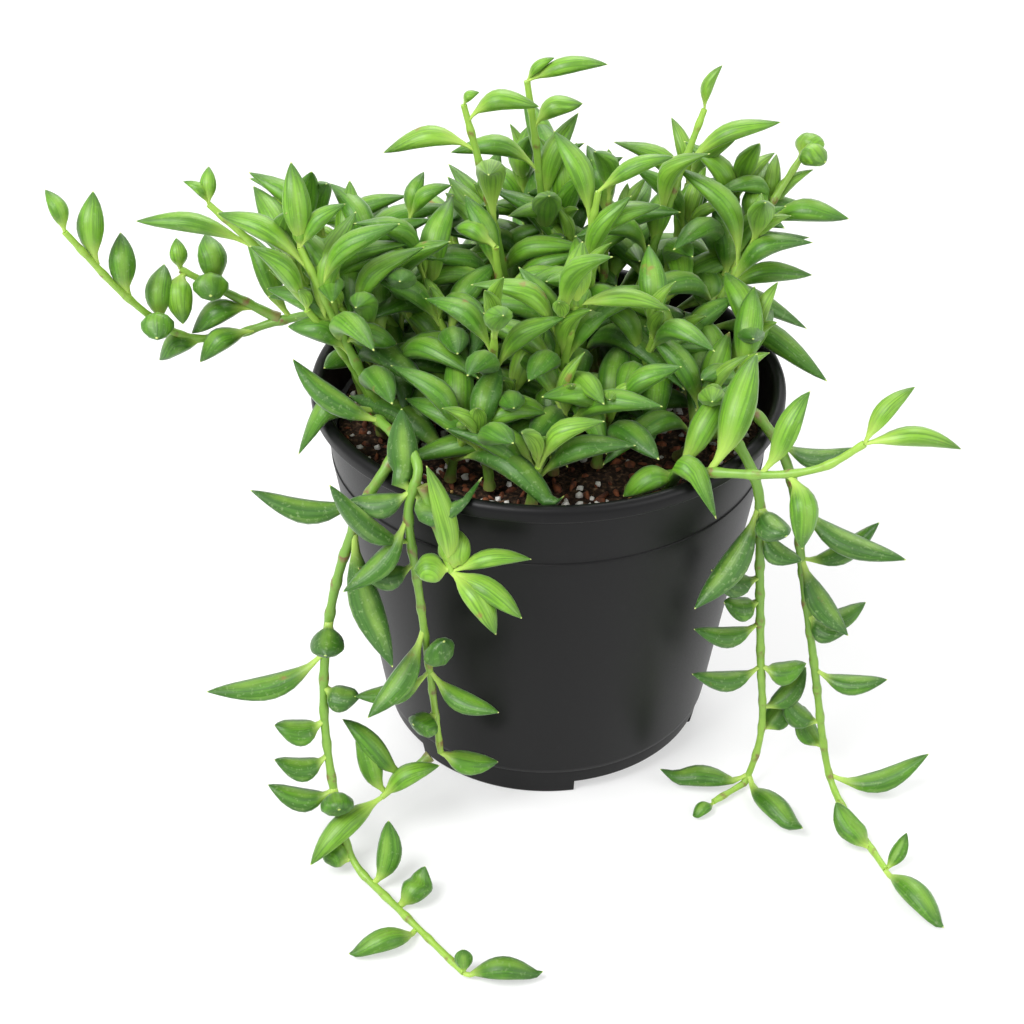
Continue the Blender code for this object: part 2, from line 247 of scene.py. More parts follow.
def dress(piece: bpy.types.Object, nodes: list[str] | None = None) -> None:
    """Ride a piece on the pot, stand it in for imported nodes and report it.

    Args:
        piece: The finished piece.
        nodes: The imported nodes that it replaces.
    """
    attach(piece, "root")
    if nodes:
        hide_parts(*nodes)
    LOG.info("%s: %d faces", piece.name, len(piece.data.polygons))


def guide_lines(
    name: str, lines: list[list[Vector]], numbers: dict[str, list], vectors: dict[str, list]
) -> bpy.types.Mesh:
    """A mesh of open lines that carry attributes.

    Args:
        name: The mesh's name.
        lines: The points of each line, in mm.
        numbers: A number for each point, by attribute.
        vectors: A vector for each point, by attribute.

    Returns:
        The mesh.
    """
    mesh = bpy.data.meshes.new(name)
    points = [point * MM for line in lines for point in line]
    edges = []
    start = 0
    for line in lines:
        edges += [(start + i, start + i + 1) for i in range(len(line) - 1)]
        start += len(line)
    mesh.from_pydata(points, edges, [])
    for key, values in numbers.items():
        mesh.attributes.new(key, "FLOAT", "POINT").data.foreach_set("value", values)
    for key, values in vectors.items():
        flat = [part for value in values for part in value]
        mesh.attributes.new(key, "FLOAT_VECTOR", "POINT").data.foreach_set("vector", flat)
    return mesh


# ---------------------------------------------------------------------------------------------
# Finishes


@dataclass(frozen=True)
class MouldedPolypropylene:
    """Injection-moulded polypropylene, black with carbon: satin, with a fine mould grain."""

    colour: str = "09090A"
    dusty: str = "151516"
    grain_mm: float = 0.35
    dust_mm: float = 2.2
    dust_amount: float = 0.35

    def build(self) -> bpy.types.Material:
        """The pot's satin black, dulled by a little dust.

        Returns:
            The material.
        """
        finish, tree, shader = new_material("moulded_polypropylene")
        place = add_node(tree, "ShaderNodeTexCoord", output="Object")
        specks, grain = [
            add_node(tree, NOISE, {"Vector": place, "Scale": pattern_scale(size), "Detail": detail})
            for size, detail in ((self.dust_mm, 6.0), (self.grain_mm, 2.0))
        ]
        dust = add_node(tree, BAND, {"Value": specks, "From Min": 0.55, "From Max": 0.85}, **SOFT)
        dust = add_node(tree, MATH, {0: dust, 1: self.dust_amount}, **PRODUCT)
        paint = {0: dust, 6: linear(self.colour), 7: linear(self.dusty)}
        fill(tree, shader, {
            "Base Color": add_node(tree, MIX, paint, **PAINT),
            "Roughness": add_node(tree, BAND, {"Value": grain, "To Min": 0.34, "To Max": 0.46}),
            "Normal": add_node(tree, BUMP, {"Height": grain, "Distance": 0.02 * MM, "Strength": 0.5}),
            "IOR": 1.49,
            "Specular IOR Level": 0.2,
        })
        return finish


@dataclass(frozen=True)
class PeatMix:
    """Milled peat with fine bark: dark and crumbly, quite matt, with paler fibres."""

    crumb_mm: float = 1.1
    clod_mm: float = 5.0
    tones: Stops = ((0.3, "110D0A"), (0.5, "32251C"), (0.62, "523E2E"), (0.75, "8D755B"))

    def build(self) -> bpy.types.Material:
        """The mix's dark brown crumbs.

        Returns:
            The material.
        """
        finish, tree, shader = new_material("milled_peat")
        place = add_node(tree, "ShaderNodeTexCoord", output="Object")
        crumbs, clods = [
            add_node(tree, NOISE, {"Vector": place, "Scale": pattern_scale(size), "Detail": detail})
            for size, detail in ((self.crumb_mm, 5.0), (self.clod_mm, 6.0))
        ]
        relief = add_node(tree, MATH, {0: crumbs, 1: clods}, **SUM)
        fill(tree, shader, {
            "Base Color": add_node(tree, RAMP, {"Fac": crumbs}, stops=self.tones),
            "Normal": add_node(tree, BUMP, {"Height": relief, "Distance": 0.8 * MM, "Strength": 0.9}),
            "Roughness": 0.95,
            "Specular IOR Level": 0.2,
        })
        return finish


@dataclass(frozen=True)
class Grain:
    """A mineral or bark grain of the mix: matt, in a few close tones."""

    name: str
    dark: str
    pale: str
    rough: float = 0.85
    mottle_mm: float = 1.6
    pit_mm: float = 0.5

    def build(self) -> bpy.types.Material:
        """A colour that differs from grain to grain.

        Returns:
            The material.
        """
        finish, tree, shader = new_material(self.name)
        place = add_node(tree, "ShaderNodeTexCoord", output="Object")
        mottle, pits = [
            add_node(tree, NOISE, {"Vector": place, "Scale": pattern_scale(size), "Detail": detail})
            for size, detail in ((self.mottle_mm, 3.0), (self.pit_mm, 4.0))
        ]
        fill(tree, shader, {
            "Base Color": add_node(tree, RAMP, {"Fac": mottle}, stops=((0.35, self.dark), (0.65, self.pale))),
            "Normal": add_node(tree, BUMP, {"Height": pits, "Distance": 0.15 * MM, "Strength": 0.6}),
            "Roughness": self.rough,
        })
        return finish


@dataclass(frozen=True)
class SucculentLeafSkin:
    """Waxed leaf skin over watery tissue: satin, a little see-through, with a clear stripe on top that is
    also lightened as a painted highlight.
    """

    tones: Stops = ((0.0, "8AB340"), (0.3, "70A328"), (0.55, "54891D"), (0.8, "3B6A17"), (1.0, "4E7338"))
    stalk: str = "A9C75A"
    # Colour of the see-through stripe on top, pale enough to serve as a painted highlight as well.
    window_and_highlight: str = "8AB146"
    bloom: str = "95AC76"
    point: str = "BCCB74"
    scar: str = "8A6A3C"
    # Dark green of the fine lines, and of the painted shade towards the tip.
    shade: str = "214A12"
    # Pale sides: waxy bloom in part, and in part a painted sheen where the leaf turns away.
    margin_bloom_and_sheen: str = "A2BF66"
    line_count: float = 9.0
    line_wave: float = 1.5
    leaf_offset: float = 40.0
    line_amount: float = 0.5
    speck_mm: float = 0.9
    mottle_mm: float = 4.0
    scar_mm: float = 9.0

    def build(self) -> bpy.types.Material:
        """The leaf's green: tone by age, pale stalk and point, clear stripe lightened as a painted highlight,
        lines, bloom, pale sides of part bloom and part painted sheen, and painted shade towards the tip.

        Returns:
            The material.
        """
        finish, tree, shader = new_material("succulent_leaf_skin")
        place = add_node(tree, "ShaderNodeTexCoord", output="Object")
        along, across, top, tone = [
            add_node(tree, ATTRIBUTE, output="Fac", attribute_name=name)
            for name in ("along", "across", "top", "tone")
        ]
        mottle, specks, scars = [
            add_node(tree, NOISE, {"Vector": place, "Scale": pattern_scale(size), "Detail": detail})
            for size, detail in ((self.mottle_mm, 3.0), (self.speck_mm, 4.0), (self.scar_mm, 5.0))
        ]
        age = add_node(tree, MATH, {0: mottle, 1: 0.36, 2: -0.18}, **SCALED_SUM)
        age = add_node(tree, MATH, {0: tone, 1: age}, **SUM)
        colour = add_node(tree, RAMP, {"Fac": age}, stops=self.tones)
        spread = add_node(tree, "ShaderNodeCombineXYZ", {
            axis: add_node(tree, MATH, {0: value, 1: times}, **PRODUCT)
            for axis, value, times in (
                ("X", across, self.line_count),
                ("Y", along, self.line_wave),
                ("Z", tone, self.leaf_offset),
            )
        })
        lines = add_node(tree, NOISE, {"Vector": spread, "Scale": 1.0, "Detail": 3.0})
        side = add_node(tree, MATH, {0: across}, operation="ABSOLUTE")
        reach = add_node(tree, MATH, {0: tone, 1: -0.3, 2: 0.5}, **SCALED_SUM)
        reach = add_node(tree, MATH, {0: along, 1: reach}, operation="DIVIDE")
        near_stalk = add_node(tree, MATH, {0: 1.0, 1: reach}, operation="SUBTRACT")
        zones = {}
        for name, value, start, end, most in (
            ("lines", lines, 0.38, 0.62, 1.0),
            ("stripe", side, 0.5, 0.1, 1.0),
            ("upper side", top, 0.1, 0.8, 1.0),
            ("past the stalk", along, 0.12, 0.35, 1.0),
            ("before the tip", along, 0.98, 0.65, 1.0),
            # The pale margin: part bloom, part painted sheen.
            ("margin_bloom_and_sheen", side, 0.9, 1.0, 0.45),
            ("stalk", near_stalk, 0.0, 0.9, 1.0),
            # Darker towards the tip: painted shade.
            ("tip", along, 0.72, 0.97, 0.5),
            ("specks", specks, 0.56, 0.7, 0.4),
            ("scars", scars, 0.69, 0.75, 0.8),
            ("point", along, 0.982, 0.995, 1.0),
        ):
            ends = {"Value": value, "From Min": start, "From Max": end, "To Max": most}
            zones[name] = add_node(tree, BAND, ends, **SOFT)
        # The clear stripe on top: the leaf's see-through window, lightened further as a painted highlight
        # down its middle.
        clear = add_node(tree, MATH, {0: mottle, 1: 0.9, 2: -0.05}, **SCALED_SUM)
        for name in ("stripe", "upper side", "past the stalk", "before the tip"):
            clear = add_node(tree, MATH, {0: clear, 1: zones[name]}, **PRODUCT)
        fine = add_node(tree, MATH, {0: zones["lines"], 1: self.line_amount}, **PRODUCT)
        waxy = add_node(tree, MATH, {0: zones["specks"], 1: tone}, **PRODUCT)
        for cover, paint in (
            (fine, self.shade),
            # The window stripe, which is also a painted highlight.
            (clear, self.window_and_highlight),
            # Pale sides, part bloom and part painted sheen.
            (zones["margin_bloom_and_sheen"], self.margin_bloom_and_sheen),
            (zones["stalk"], self.stalk),
            # Painted shade towards the tip.
            (zones["tip"], self.shade),
            (waxy, self.bloom),
            (zones["scars"], self.scar),
            (zones["point"], self.point),
        ):
            colour = add_node(tree, MIX, {0: cover, 6: colour, 7: linear(paint)}, **PAINT)
        relief = {"Height": zones["lines"], "Distance": 0.08 * MM, "Strength": 0.35}
        fill(tree, shader, {
            "Base Color": colour,
            "Roughness": add_node(tree, MATH, {0: mottle, 1: 0.2, 2: 0.31}, **SCALED_SUM),
            "Normal": add_node(tree, BUMP, relief),
            "IOR": 1.42,
            "Subsurface Weight": 0.18,
            "Subsurface Radius": (0.5, 1.0, 0.25),
            "Subsurface Scale": 1.5 * MM,
            "Sheen Weight": 0.12,
            "Sheen Roughness": 0.4,
        })
        return finish


@dataclass(frozen=True)
class SucculentStemSkin:
    """Stem skin: pale green and smooth where it is young, corky brown by the mix."""

    young: str = "92B845"
    grown: str = "6F9A37"
    old: str = "7D7F45"
    cork: str = "7A5A3A"
    mottle_mm: float = 2.5
    rib_mm: float = 0.7

    def build(self) -> bpy.types.Material:
        """The stem's colour by age, with brown nodes and fine ribs.

        Returns:
            The material.
        """
        finish, tree, shader = new_material("succulent_stem_skin")
        place = add_node(tree, "ShaderNodeTexCoord", output="Object")
        age, knot = [
            add_node(tree, ATTRIBUTE, output="Fac", attribute_name=name) for name in ("age", "knot")
        ]
        mottle, ribs = [
            add_node(tree, NOISE, {"Vector": place, "Scale": pattern_scale(size), "Detail": detail})
            for size, detail in ((self.mottle_mm, 4.0), (self.rib_mm, 3.0))
        ]
        shift = add_node(tree, MATH, {0: mottle, 1: 0.5, 2: -0.25}, **SCALED_SUM)
        shade = add_node(tree, MATH, {0: age, 1: shift}, **SUM)
        stops = ((0.0, self.young), (0.5, self.grown), (0.82, self.grown), (1.0, self.old))
        colour = add_node(tree, RAMP, {"Fac": shade}, stops=stops)
        corky = add_node(tree, BAND, {"Value": mottle, "From Min": 0.5, "From Max": 0.68}, **SOFT)
        corky = add_node(tree, MATH, {0: corky, 1: knot}, **PRODUCT)
        fill(tree, shader, {
            "Base Color": add_node(tree, MIX, {0: corky, 6: colour, 7: linear(self.cork)}, **PAINT),
            "Normal": add_node(tree, BUMP, {"Height": ribs, "Distance": 0.12 * MM, "Strength": 0.4}),
            "Roughness": 0.42,
            "Subsurface Weight": 0.12,
            "Subsurface Radius": (0.6, 1.0, 0.3),
            "Subsurface Scale": 1.0 * MM,
        })
        return finish


# ---------------------------------------------------------------------------------------------
# Geometry Nodes trees


def new_tree(name: str, numbers: dict[str, float]) -> tuple[Tree, bpy.types.NodeOutputs]:
    """A Geometry Nodes tree with a geometry, named sizes and a material as inputs.

    Args:
        name: The tree's name.
        numbers: The sizes' names with their first values.

    Returns:
        The tree and what it is given, by name.
    """
    tree = bpy.data.node_groups.new(name, "GeometryNodeTree")
    tree.interface.new_socket("Geometry", in_out="INPUT", socket_type="NodeSocketGeometry")
    tree.interface.new_socket("Geometry", in_out="OUTPUT", socket_type="NodeSocketGeometry")
    for key, value in numbers.items():
        kind = "NodeSocketInt" if isinstance(value, int) else "NodeSocketFloat"
        tree.interface.new_socket(key, in_out="INPUT", socket_type=kind).default_value = value
    tree.interface.new_socket("Skin", in_out="INPUT", socket_type="NodeSocketMaterial")
    return tree, add_node(tree, "NodeGroupInput").node.outputs


def finish_tree(tree: Tree, geometry: Socket, skin: Socket) -> Tree:
    """End a tree: smooth shading, real geometry and its material.

    Args:
        tree: The tree.
        geometry: What it made.
        skin: The material's input.

    Returns:
        The tree.
    """
    smooth = add_node(tree, "GeometryNodeSetShadeSmooth", {"Geometry": geometry})
    real = add_node(tree, "GeometryNodeRealizeInstances", {"Geometry": smooth})
    skinned = add_node(tree, "GeometryNodeSetMaterial", {"Geometry": real, "Material": skin})
    add_node(tree, "NodeGroupOutput", {0: skinned})
    return tree


class LeafOutline(Enum):
    """Half-width along a leaf, from stalk to point, as shares of its length and width."""

    BANANA = (
        (0.0, 0.2), (0.08, 0.23), (0.2, 0.52), (0.34, 0.86),
        (0.5, 1.0), (0.72, 0.8), (0.88, 0.44), (1.0, 0.03),
    )
    BEAN = (
        (0.0, 0.24), (0.1, 0.28), (0.24, 0.78), (0.45, 1.0),
        (0.7, 0.92), (0.87, 0.58), (0.96, 0.24), (1.0, 0.03),
    )


def leaf_tree() -> Tree:
    """Leaves along guide lines, each swept with a flattened section and its outline.

    Returns:
        The tree, which reads the guide's along, width, plump, tone, over and beside attributes.
    """
    fullness_power = 0.4
    fullness_gain = 1.32
    tree, given = new_tree("leaves_on_guides", {"Rings": 13, "Sides": 10, "Thickness": 0.72})
    line = add_node(tree, "GeometryNodeMeshToCurve", {"Mesh": given["Geometry"]})
    rings = add_node(tree, "GeometryNodeResampleCurve", {"Curve": line, "Count": given["Rings"]})
    along, width, plump = [add_node(tree, FIELD, {"Name": name}) for name in ("along", "width", "plump")]
    over, beside = [
        add_node(tree, FIELD, {"Name": name}, data_type="FLOAT_VECTOR") for name in ("over", "beside")
    ]
    turned = add_node(tree, "GeometryNodeSetCurveNormal", {"Curve": rings, "Normal": over}, mode="FREE")
    widths = []
    for outline in LeafOutline:
        widths.append(add_node(tree, "ShaderNodeFloatCurve", {"Value": along}))
        mapping = widths[-1].node.mapping
        curve = mapping.curves[0]
        first, *inner, last = outline.value
        curve.points[0].location = first
        curve.points[1].location = last
        for place in inner:
            curve.points.new(*place)
        mapping.update()
    banana, bean = widths
    share = add_node(tree, MIX, {0: plump, 2: banana, 3: bean})
    radius = add_node(tree, MATH, {0: share, 1: width}, **PRODUCT)
    sized = add_node(tree, "GeometryNodeSetCurveRadius", {"Curve": turned, "Radius": radius})
    circle = add_node(tree, "GeometryNodeCurvePrimitiveCircle", {"Resolution": given["Sides"], "Radius": 0.5})
    corner = add_node(tree, "GeometryNodeInputPosition")
    corner = add_node(tree, "ShaderNodeSeparateXYZ", {0: corner}).node.outputs
    fullness = add_node(tree, MATH, {0: corner["X"]}, operation="ABSOLUTE")
    fullness = add_node(tree, MATH, {0: fullness, 1: fullness_power}, operation="POWER")
    flat = corner["X"]
    for factor in (fullness, given["Thickness"], fullness_gain):
        flat = add_node(tree, MATH, {0: flat, 1: factor}, **PRODUCT)
    lens = add_node(tree, "ShaderNodeCombineXYZ", {"X": flat, "Y": corner["Y"]})
    section = add_node(tree, "GeometryNodeSetPosition", {"Geometry": circle, "Position": lens})
    body = add_node(tree, "GeometryNodeCurveToMesh", {
        "Curve": sized, "Profile Curve": section, "Scale": add_node(tree, "GeometryNodeInputRadius"),
        "Fill Caps": True,
    })
    normal = add_node(tree, "GeometryNodeInputNormal")
    for name, way in (("top", over), ("across", beside)):
        facing = add_node(
            tree, "ShaderNodeVectorMath", {0: normal, 1: way}, output="Value", operation="DOT_PRODUCT")
        body = add_node(tree, STORE, {"Geometry": body, "Name": name, "Value": facing})
    return finish_tree(tree, body, given["Skin"])


def stem_tree() -> Tree:
    """Stems along guide lines, tapered and swollen at their nodes.

    Returns:
        The tree, which reads the guide's place (mm along the stem) and age attributes.
    """
    knot_reach = 1.9
    wobble_scale = 260.0
    wobble_amount = 0.3
    sizes = {"Sides": 12, "Thick": 1.35 * MM, "Thin": 0.8 * MM, "Spacing": 9.0, "Swelling": 0.22}
    tree, given = new_tree("stems_on_guides", sizes)
    line = add_node(tree, "GeometryNodeMeshToCurve", {"Mesh": given["Geometry"]})
    place, age = [add_node(tree, FIELD, {"Name": name}) for name in ("place", "age")]
    half = add_node(tree, MATH, {0: given["Spacing"], 1: 2.0}, operation="DIVIDE")
    away = add_node(tree, MATH, {0: place, 1: half}, operation="PINGPONG")
    away = add_node(tree, MATH, {0: away, 1: knot_reach}, operation="DIVIDE")
    near = add_node(tree, MATH, {0: 1.0, 1: away}, operation="SUBTRACT")
    near = add_node(tree, MATH, {0: near, 1: 0.0}, operation="MAXIMUM")
    falling = add_node(tree, MATH, {0: 2.0, 1: near}, operation="SUBTRACT")
    knot = add_node(tree, MATH, {0: near, 1: falling}, **PRODUCT)
    body = add_node(tree, "GeometryNodeResampleCurve", {"Curve": line, "Length": 1.0 * MM}, mode="LENGTH")
    body = add_node(tree, STORE, {"Geometry": body, "Name": "knot", "Value": knot})
    taper = add_node(tree, MIX, {0: age, 2: given["Thin"], 3: given["Thick"]})
    swell = add_node(tree, MATH, {0: knot, 1: given["Swelling"], 2: 1.0}, **SCALED_SUM)
    wobble = add_node(tree, NOISE, {"Scale": wobble_scale, "Detail": 2.0})
    wobble = add_node(tree, MATH, {0: wobble, 1: wobble_amount, 2: -wobble_amount / 2}, **SCALED_SUM)
    swell = add_node(tree, MATH, {0: swell, 1: wobble}, **SUM)
    radius = add_node(tree, MATH, {0: taper, 1: swell}, **PRODUCT)
    sized = add_node(tree, "GeometryNodeSetCurveRadius", {"Curve": body, "Radius": radius})
    circle = add_node(tree, "GeometryNodeCurvePrimitiveCircle", {"Resolution": given["Sides"], "Radius": 1.0})
    swept = add_node(tree, "GeometryNodeCurveToMesh", {
        "Curve": sized, "Profile Curve": circle, "Scale": add_node(tree, "GeometryNodeInputRadius"),
        "Fill Caps": True,
    })
    return finish_tree(tree, swept, given["Skin"])


def grain_tree() -> Tree:
    """Irregular grains scattered over a surface.

    Returns:
        The tree, whose inputs give the grains' density, size, flatness, spacing and seed.
    """
    smallest, largest = 0.55, 1.25
    breadth = 0.85
    full_turn = (6.3, 6.3, 6.3)
    sizes = {"Density": 20000.0, "Size": 2.0 * MM, "Flatness": 0.8, "Apart": 2.0 * MM, "Seed": 1}
    tree, given = new_tree("scattered_grains", sizes)
    points = add_node(tree, "GeometryNodeDistributePointsOnFaces", {
        "Mesh": given["Geometry"], "Distance Min": given["Apart"], "Density Max": given["Density"],
        "Seed": given["Seed"],
    }, distribute_method="POISSON")
    stone = add_node(tree, "GeometryNodeMeshIcoSphere", {"Radius": 0.5, "Subdivisions": 1})
    lump = add_node(tree, NOISE, {"Scale": 2.2, "Detail": 2.0}, output="Color")
    shift = add_node(tree, "ShaderNodeVectorMath", {0: lump, 1: (0.5, 0.5, 0.5)}, operation="SUBTRACT")
    rough = add_node(tree, "GeometryNodeSetPosition", {"Geometry": stone, "Offset": shift})
    turn = {"Min": (0.0, 0.0, 0.0), "Max": full_turn, "Seed": given["Seed"]}
    turn = add_node(tree, "FunctionNodeRandomValue", turn, data_type="FLOAT_VECTOR")
    low, high = [
        add_node(tree, MATH, {0: given["Size"], 1: share}, **PRODUCT) for share in (smallest, largest)
    ]
    size = {"Min": low, "Max": high, "Seed": given["Seed"]}
    size = add_node(tree, "FunctionNodeRandomValue", size, data_type="FLOAT")
    squash = add_node(tree, "ShaderNodeCombineXYZ", {
        "X": size,
        "Y": add_node(tree, MATH, {0: size, 1: breadth}, **PRODUCT),
        "Z": add_node(tree, MATH, {0: size, 1: given["Flatness"]}, **PRODUCT),
    })
    grains = add_node(tree, "GeometryNodeInstanceOnPoints", {
        "Points": points, "Instance": rough, "Rotation": turn, "Scale": squash,
    })
    return finish_tree(tree, grains, given["Skin"])


# ---------------------------------------------------------------------------------------------
# Pot and potting mix


def turned_shell(name: str, profile: list[tuple[float, float]], steps: int) -> bpy.types.Mesh:
    """A closed solid turned round Z.

    Args:
        name: The mesh's name.
        profile: Radius and height in mm, closed on the axis or on itself.
        steps: Facets round the turn.

    Returns:
        The mesh, its faces outwards.
    """
    mesh = bpy.data.meshes.new(name)
    form = bmesh.new()
    points = [form.verts.new((radius * MM, 0.0, height * MM)) for radius, height in profile]
    edges = [form.edges.new(pair) for pair in zip(points, points[1:])]
    turn = {"cent": (0, 0, 0), "axis": (0, 0, 1), "angle": 2 * math.pi, "steps": steps}
    bmesh.ops.spin(form, geom=points + edges, use_merge=True, **turn)
    bmesh.ops.remove_doubles(form, verts=form.verts, dist=0.00001)
    bmesh.ops.recalc_face_normals(form, faces=form.faces)
    form.to_mesh(mesh)
    form.free()
    return mesh


def arc(
    centre: tuple[float, float], radius: float, start: float, end: float, count: int
) -> list[tuple[float, float]]:
    """Points on an arc of a profile, angles in degrees."""
    angles = [math.radians(start + (end - start) * i / count) for i in range(count + 1)]
    return [(centre[0] + radius * math.cos(a), centre[1] + radius * math.sin(a)) for a in angles]


@dataclass
class NurseryPot:
    """The moulded pot: a tapered wall with a rolled rim, mould lines and a notched foot. In mm."""

    height: float
    rim_radius: float
    rim_band: float = 3.9
    rim_lip: float = 3.4
    neck_radius: float = 57.6
    foot_radius: float = 42.7
    wall: float = 1.2
    band_fillet: float = 0.6
    neck_fillet: float = 0.5
    foot_fillet: float = 0.8
    draft: float = 0.8
    upper_line: float = 85.0
    lower_step: float = 8.6
    step_depth: float = 0.6
    base_underside: float = 5.0
    foot_wall: float = 4.0
    centre_pad: float = 16.0
    ledge_drop: float = 13.0
    notch_count: int = 3
    notch_height: float = 4.0
    notch_angle: float = 60.0
    first_notch: float = -49.0
    drain_count: int = 6
    drain_radius: float = 4.0
    drain_ring: float = 27.0
    clearance: float = 0.3
    steps: int = 192

    @property
    def floor_height(self) -> float:
        """Height of the raised base's upper side, in mm."""
        return self.base_underside + self.wall

    @property
    def floor_radius(self) -> float:
        """Radius of the mix where it meets the base, clear of the wall, in mm."""
        return self.wall_radius(self.floor_height) - 2 * self.wall - self.clearance

    def wall_radius(self, height: float) -> float:
        """Outer radius of the wall at a height.

        Args:
            height: The height, in mm.

        Returns:
            The radius, in mm.
        """
        share = height / (self.height - self.rim_band)
        foot = self.foot_radius + self.step_depth
        return foot + (self.neck_radius - foot) * share

    def profile(self) -> list[tuple[float, float]]:
        """The pot's section: down the outer side, under the base and up the inner side.

        Returns:
            Radius and height of each corner, in mm, closed on the axis.
        """
        lip = self.rim_lip / 2
        band, neck, foot = self.band_fillet, self.neck_fillet, self.foot_fillet
        under = self.height - self.rim_band
        ledge = self.height - self.ledge_drop
        line = self.wall_radius(self.upper_line)
        step = self.wall_radius(self.lower_step)
        outer = arc((self.rim_radius - lip, self.height - lip), lip, 150, 0, 10)
        outer += arc((self.rim_radius - band, under + band), band, 0, -90, 4)
        outer += [(self.neck_radius + neck, under)]
        outer += arc((self.neck_radius + neck, under - neck), neck, 90, 180, 3)
        above = self.wall_radius(self.upper_line + 1.0)
        outer += [(self.neck_radius - 0.15, under - 1.5), (above, self.upper_line + 1.0)]
        outer += [(line, self.upper_line + 0.25), (line + 0.28, self.upper_line)]
        outer += [(line + 0.2, self.upper_line - 0.9), (line - 0.3, self.upper_line - 4.0)]
        outer += [(step + 0.2, self.lower_step + 1.4), (step, self.lower_step + 0.25)]
        outer += [(step - 0.2, self.lower_step), (step - self.step_depth, self.lower_step - 0.25)]
        outer += [(step - self.step_depth - 0.1, self.lower_step - 1.2), (self.foot_radius + 0.1, 1.6)]
        outer += arc((self.foot_radius - foot, foot), foot, 0, -90, 4)
        inner_foot = self.foot_radius - self.foot_wall
        outer += [(inner_foot, 0.0), (inner_foot - self.draft, self.base_underside)]
        outer += [(self.centre_pad + self.draft, self.base_underside), (self.centre_pad, 0.0), (0.0, 0.0)]
        floor = self.floor_height
        pad = self.centre_pad - self.wall
        shelf = self.wall_radius(ledge) - self.wall
        inner = [(0.0, self.wall), (pad, self.wall), (pad, floor)]
        inner += [(self.wall_radius(floor) - 2 * self.wall, floor)]
        inner += [(shelf - 1.4, ledge - 1.6), (shelf - 1.2, ledge - 0.3), (shelf, ledge)]
        inner += [(self.rim_radius - self.rim_lip - 0.2, self.height - self.rim_lip), outer[0]]
        return outer + inner

    def cutters(self) -> list[bpy.types.Object]:
        """The wedges that open the foot and the drills through the base.

        Returns:
            The two cutters.
        """
        form = bmesh.new()
        inner = (self.foot_radius - self.foot_wall - 2.0) * MM
        outer = (self.foot_radius + 4.0) * MM
        below = -1.0
        slices = 24
        for number in range(self.notch_count):
            middle = self.first_notch + number * 360.0 / self.notch_count
            rings = []
            for i in range(slices + 1):
                way = level_way(middle + self.notch_angle * (i / slices - 0.5))
                top = self.notch_height
                corners = [(inner, below), (outer, below), (outer, top), (inner, top)]
                rings.append([form.verts.new(way * r + Vector((0, 0, h * MM))) for r, h in corners])
            for one, two in zip(rings, rings[1:]):
                for k in range(4):
                    form.faces.new((one[k], one[(k + 1) % 4], two[(k + 1) % 4], two[k]))
            form.faces.new(rings[0][::-1])
            form.faces.new(rings[-1])
        bmesh.ops.recalc_face_normals(form, faces=form.faces)
        notches = bpy.data.meshes.new("foot_notches")
        form.to_mesh(notches)
        form.clear()
        for number in range(self.drain_count):
            place = level_way(360.0 * number / self.drain_count) * self.drain_ring
            place.z = self.base_underside + self.wall / 2
            size = self.drain_radius * MM
            cone = {"radius1": size, "radius2": size, "depth": 3 * self.wall * MM, "segments": 32}
            bmesh.ops.create_cone(form, cap_ends=True, matrix=Matrix.Translation(place * MM), **cone)
        drills = bpy.data.meshes.new("drain_drills")
        form.to_mesh(drills)
        form.free()
        return [new_object("foot_notches", notches), new_object("drain_drills", drills)]

    def build(self) -> None:
        """Turn, notch, drill and dress the pot."""
        shell = new_object("pot_shell", turned_shell("pot_shell", self.profile(), self.steps))
        tools = self.cutters()
        for tool in tools:
            cut = shell.modifiers.new(tool.name, "BOOLEAN")
            cut.operation = "DIFFERENCE"
            cut.solver = "EXACT"
            cut.object = tool
        settle(shell)
        for tool in tools:
            bpy.data.objects.remove(tool, do_unlink=True)
        shell.data.materials.clear()
        shell.data.materials.append(MouldedPolypropylene().build())
        shell.data.shade_smooth()
        shell.data.set_sharp_from_angle(angle=math.radians(32))
        dress(shell, ["pot"])


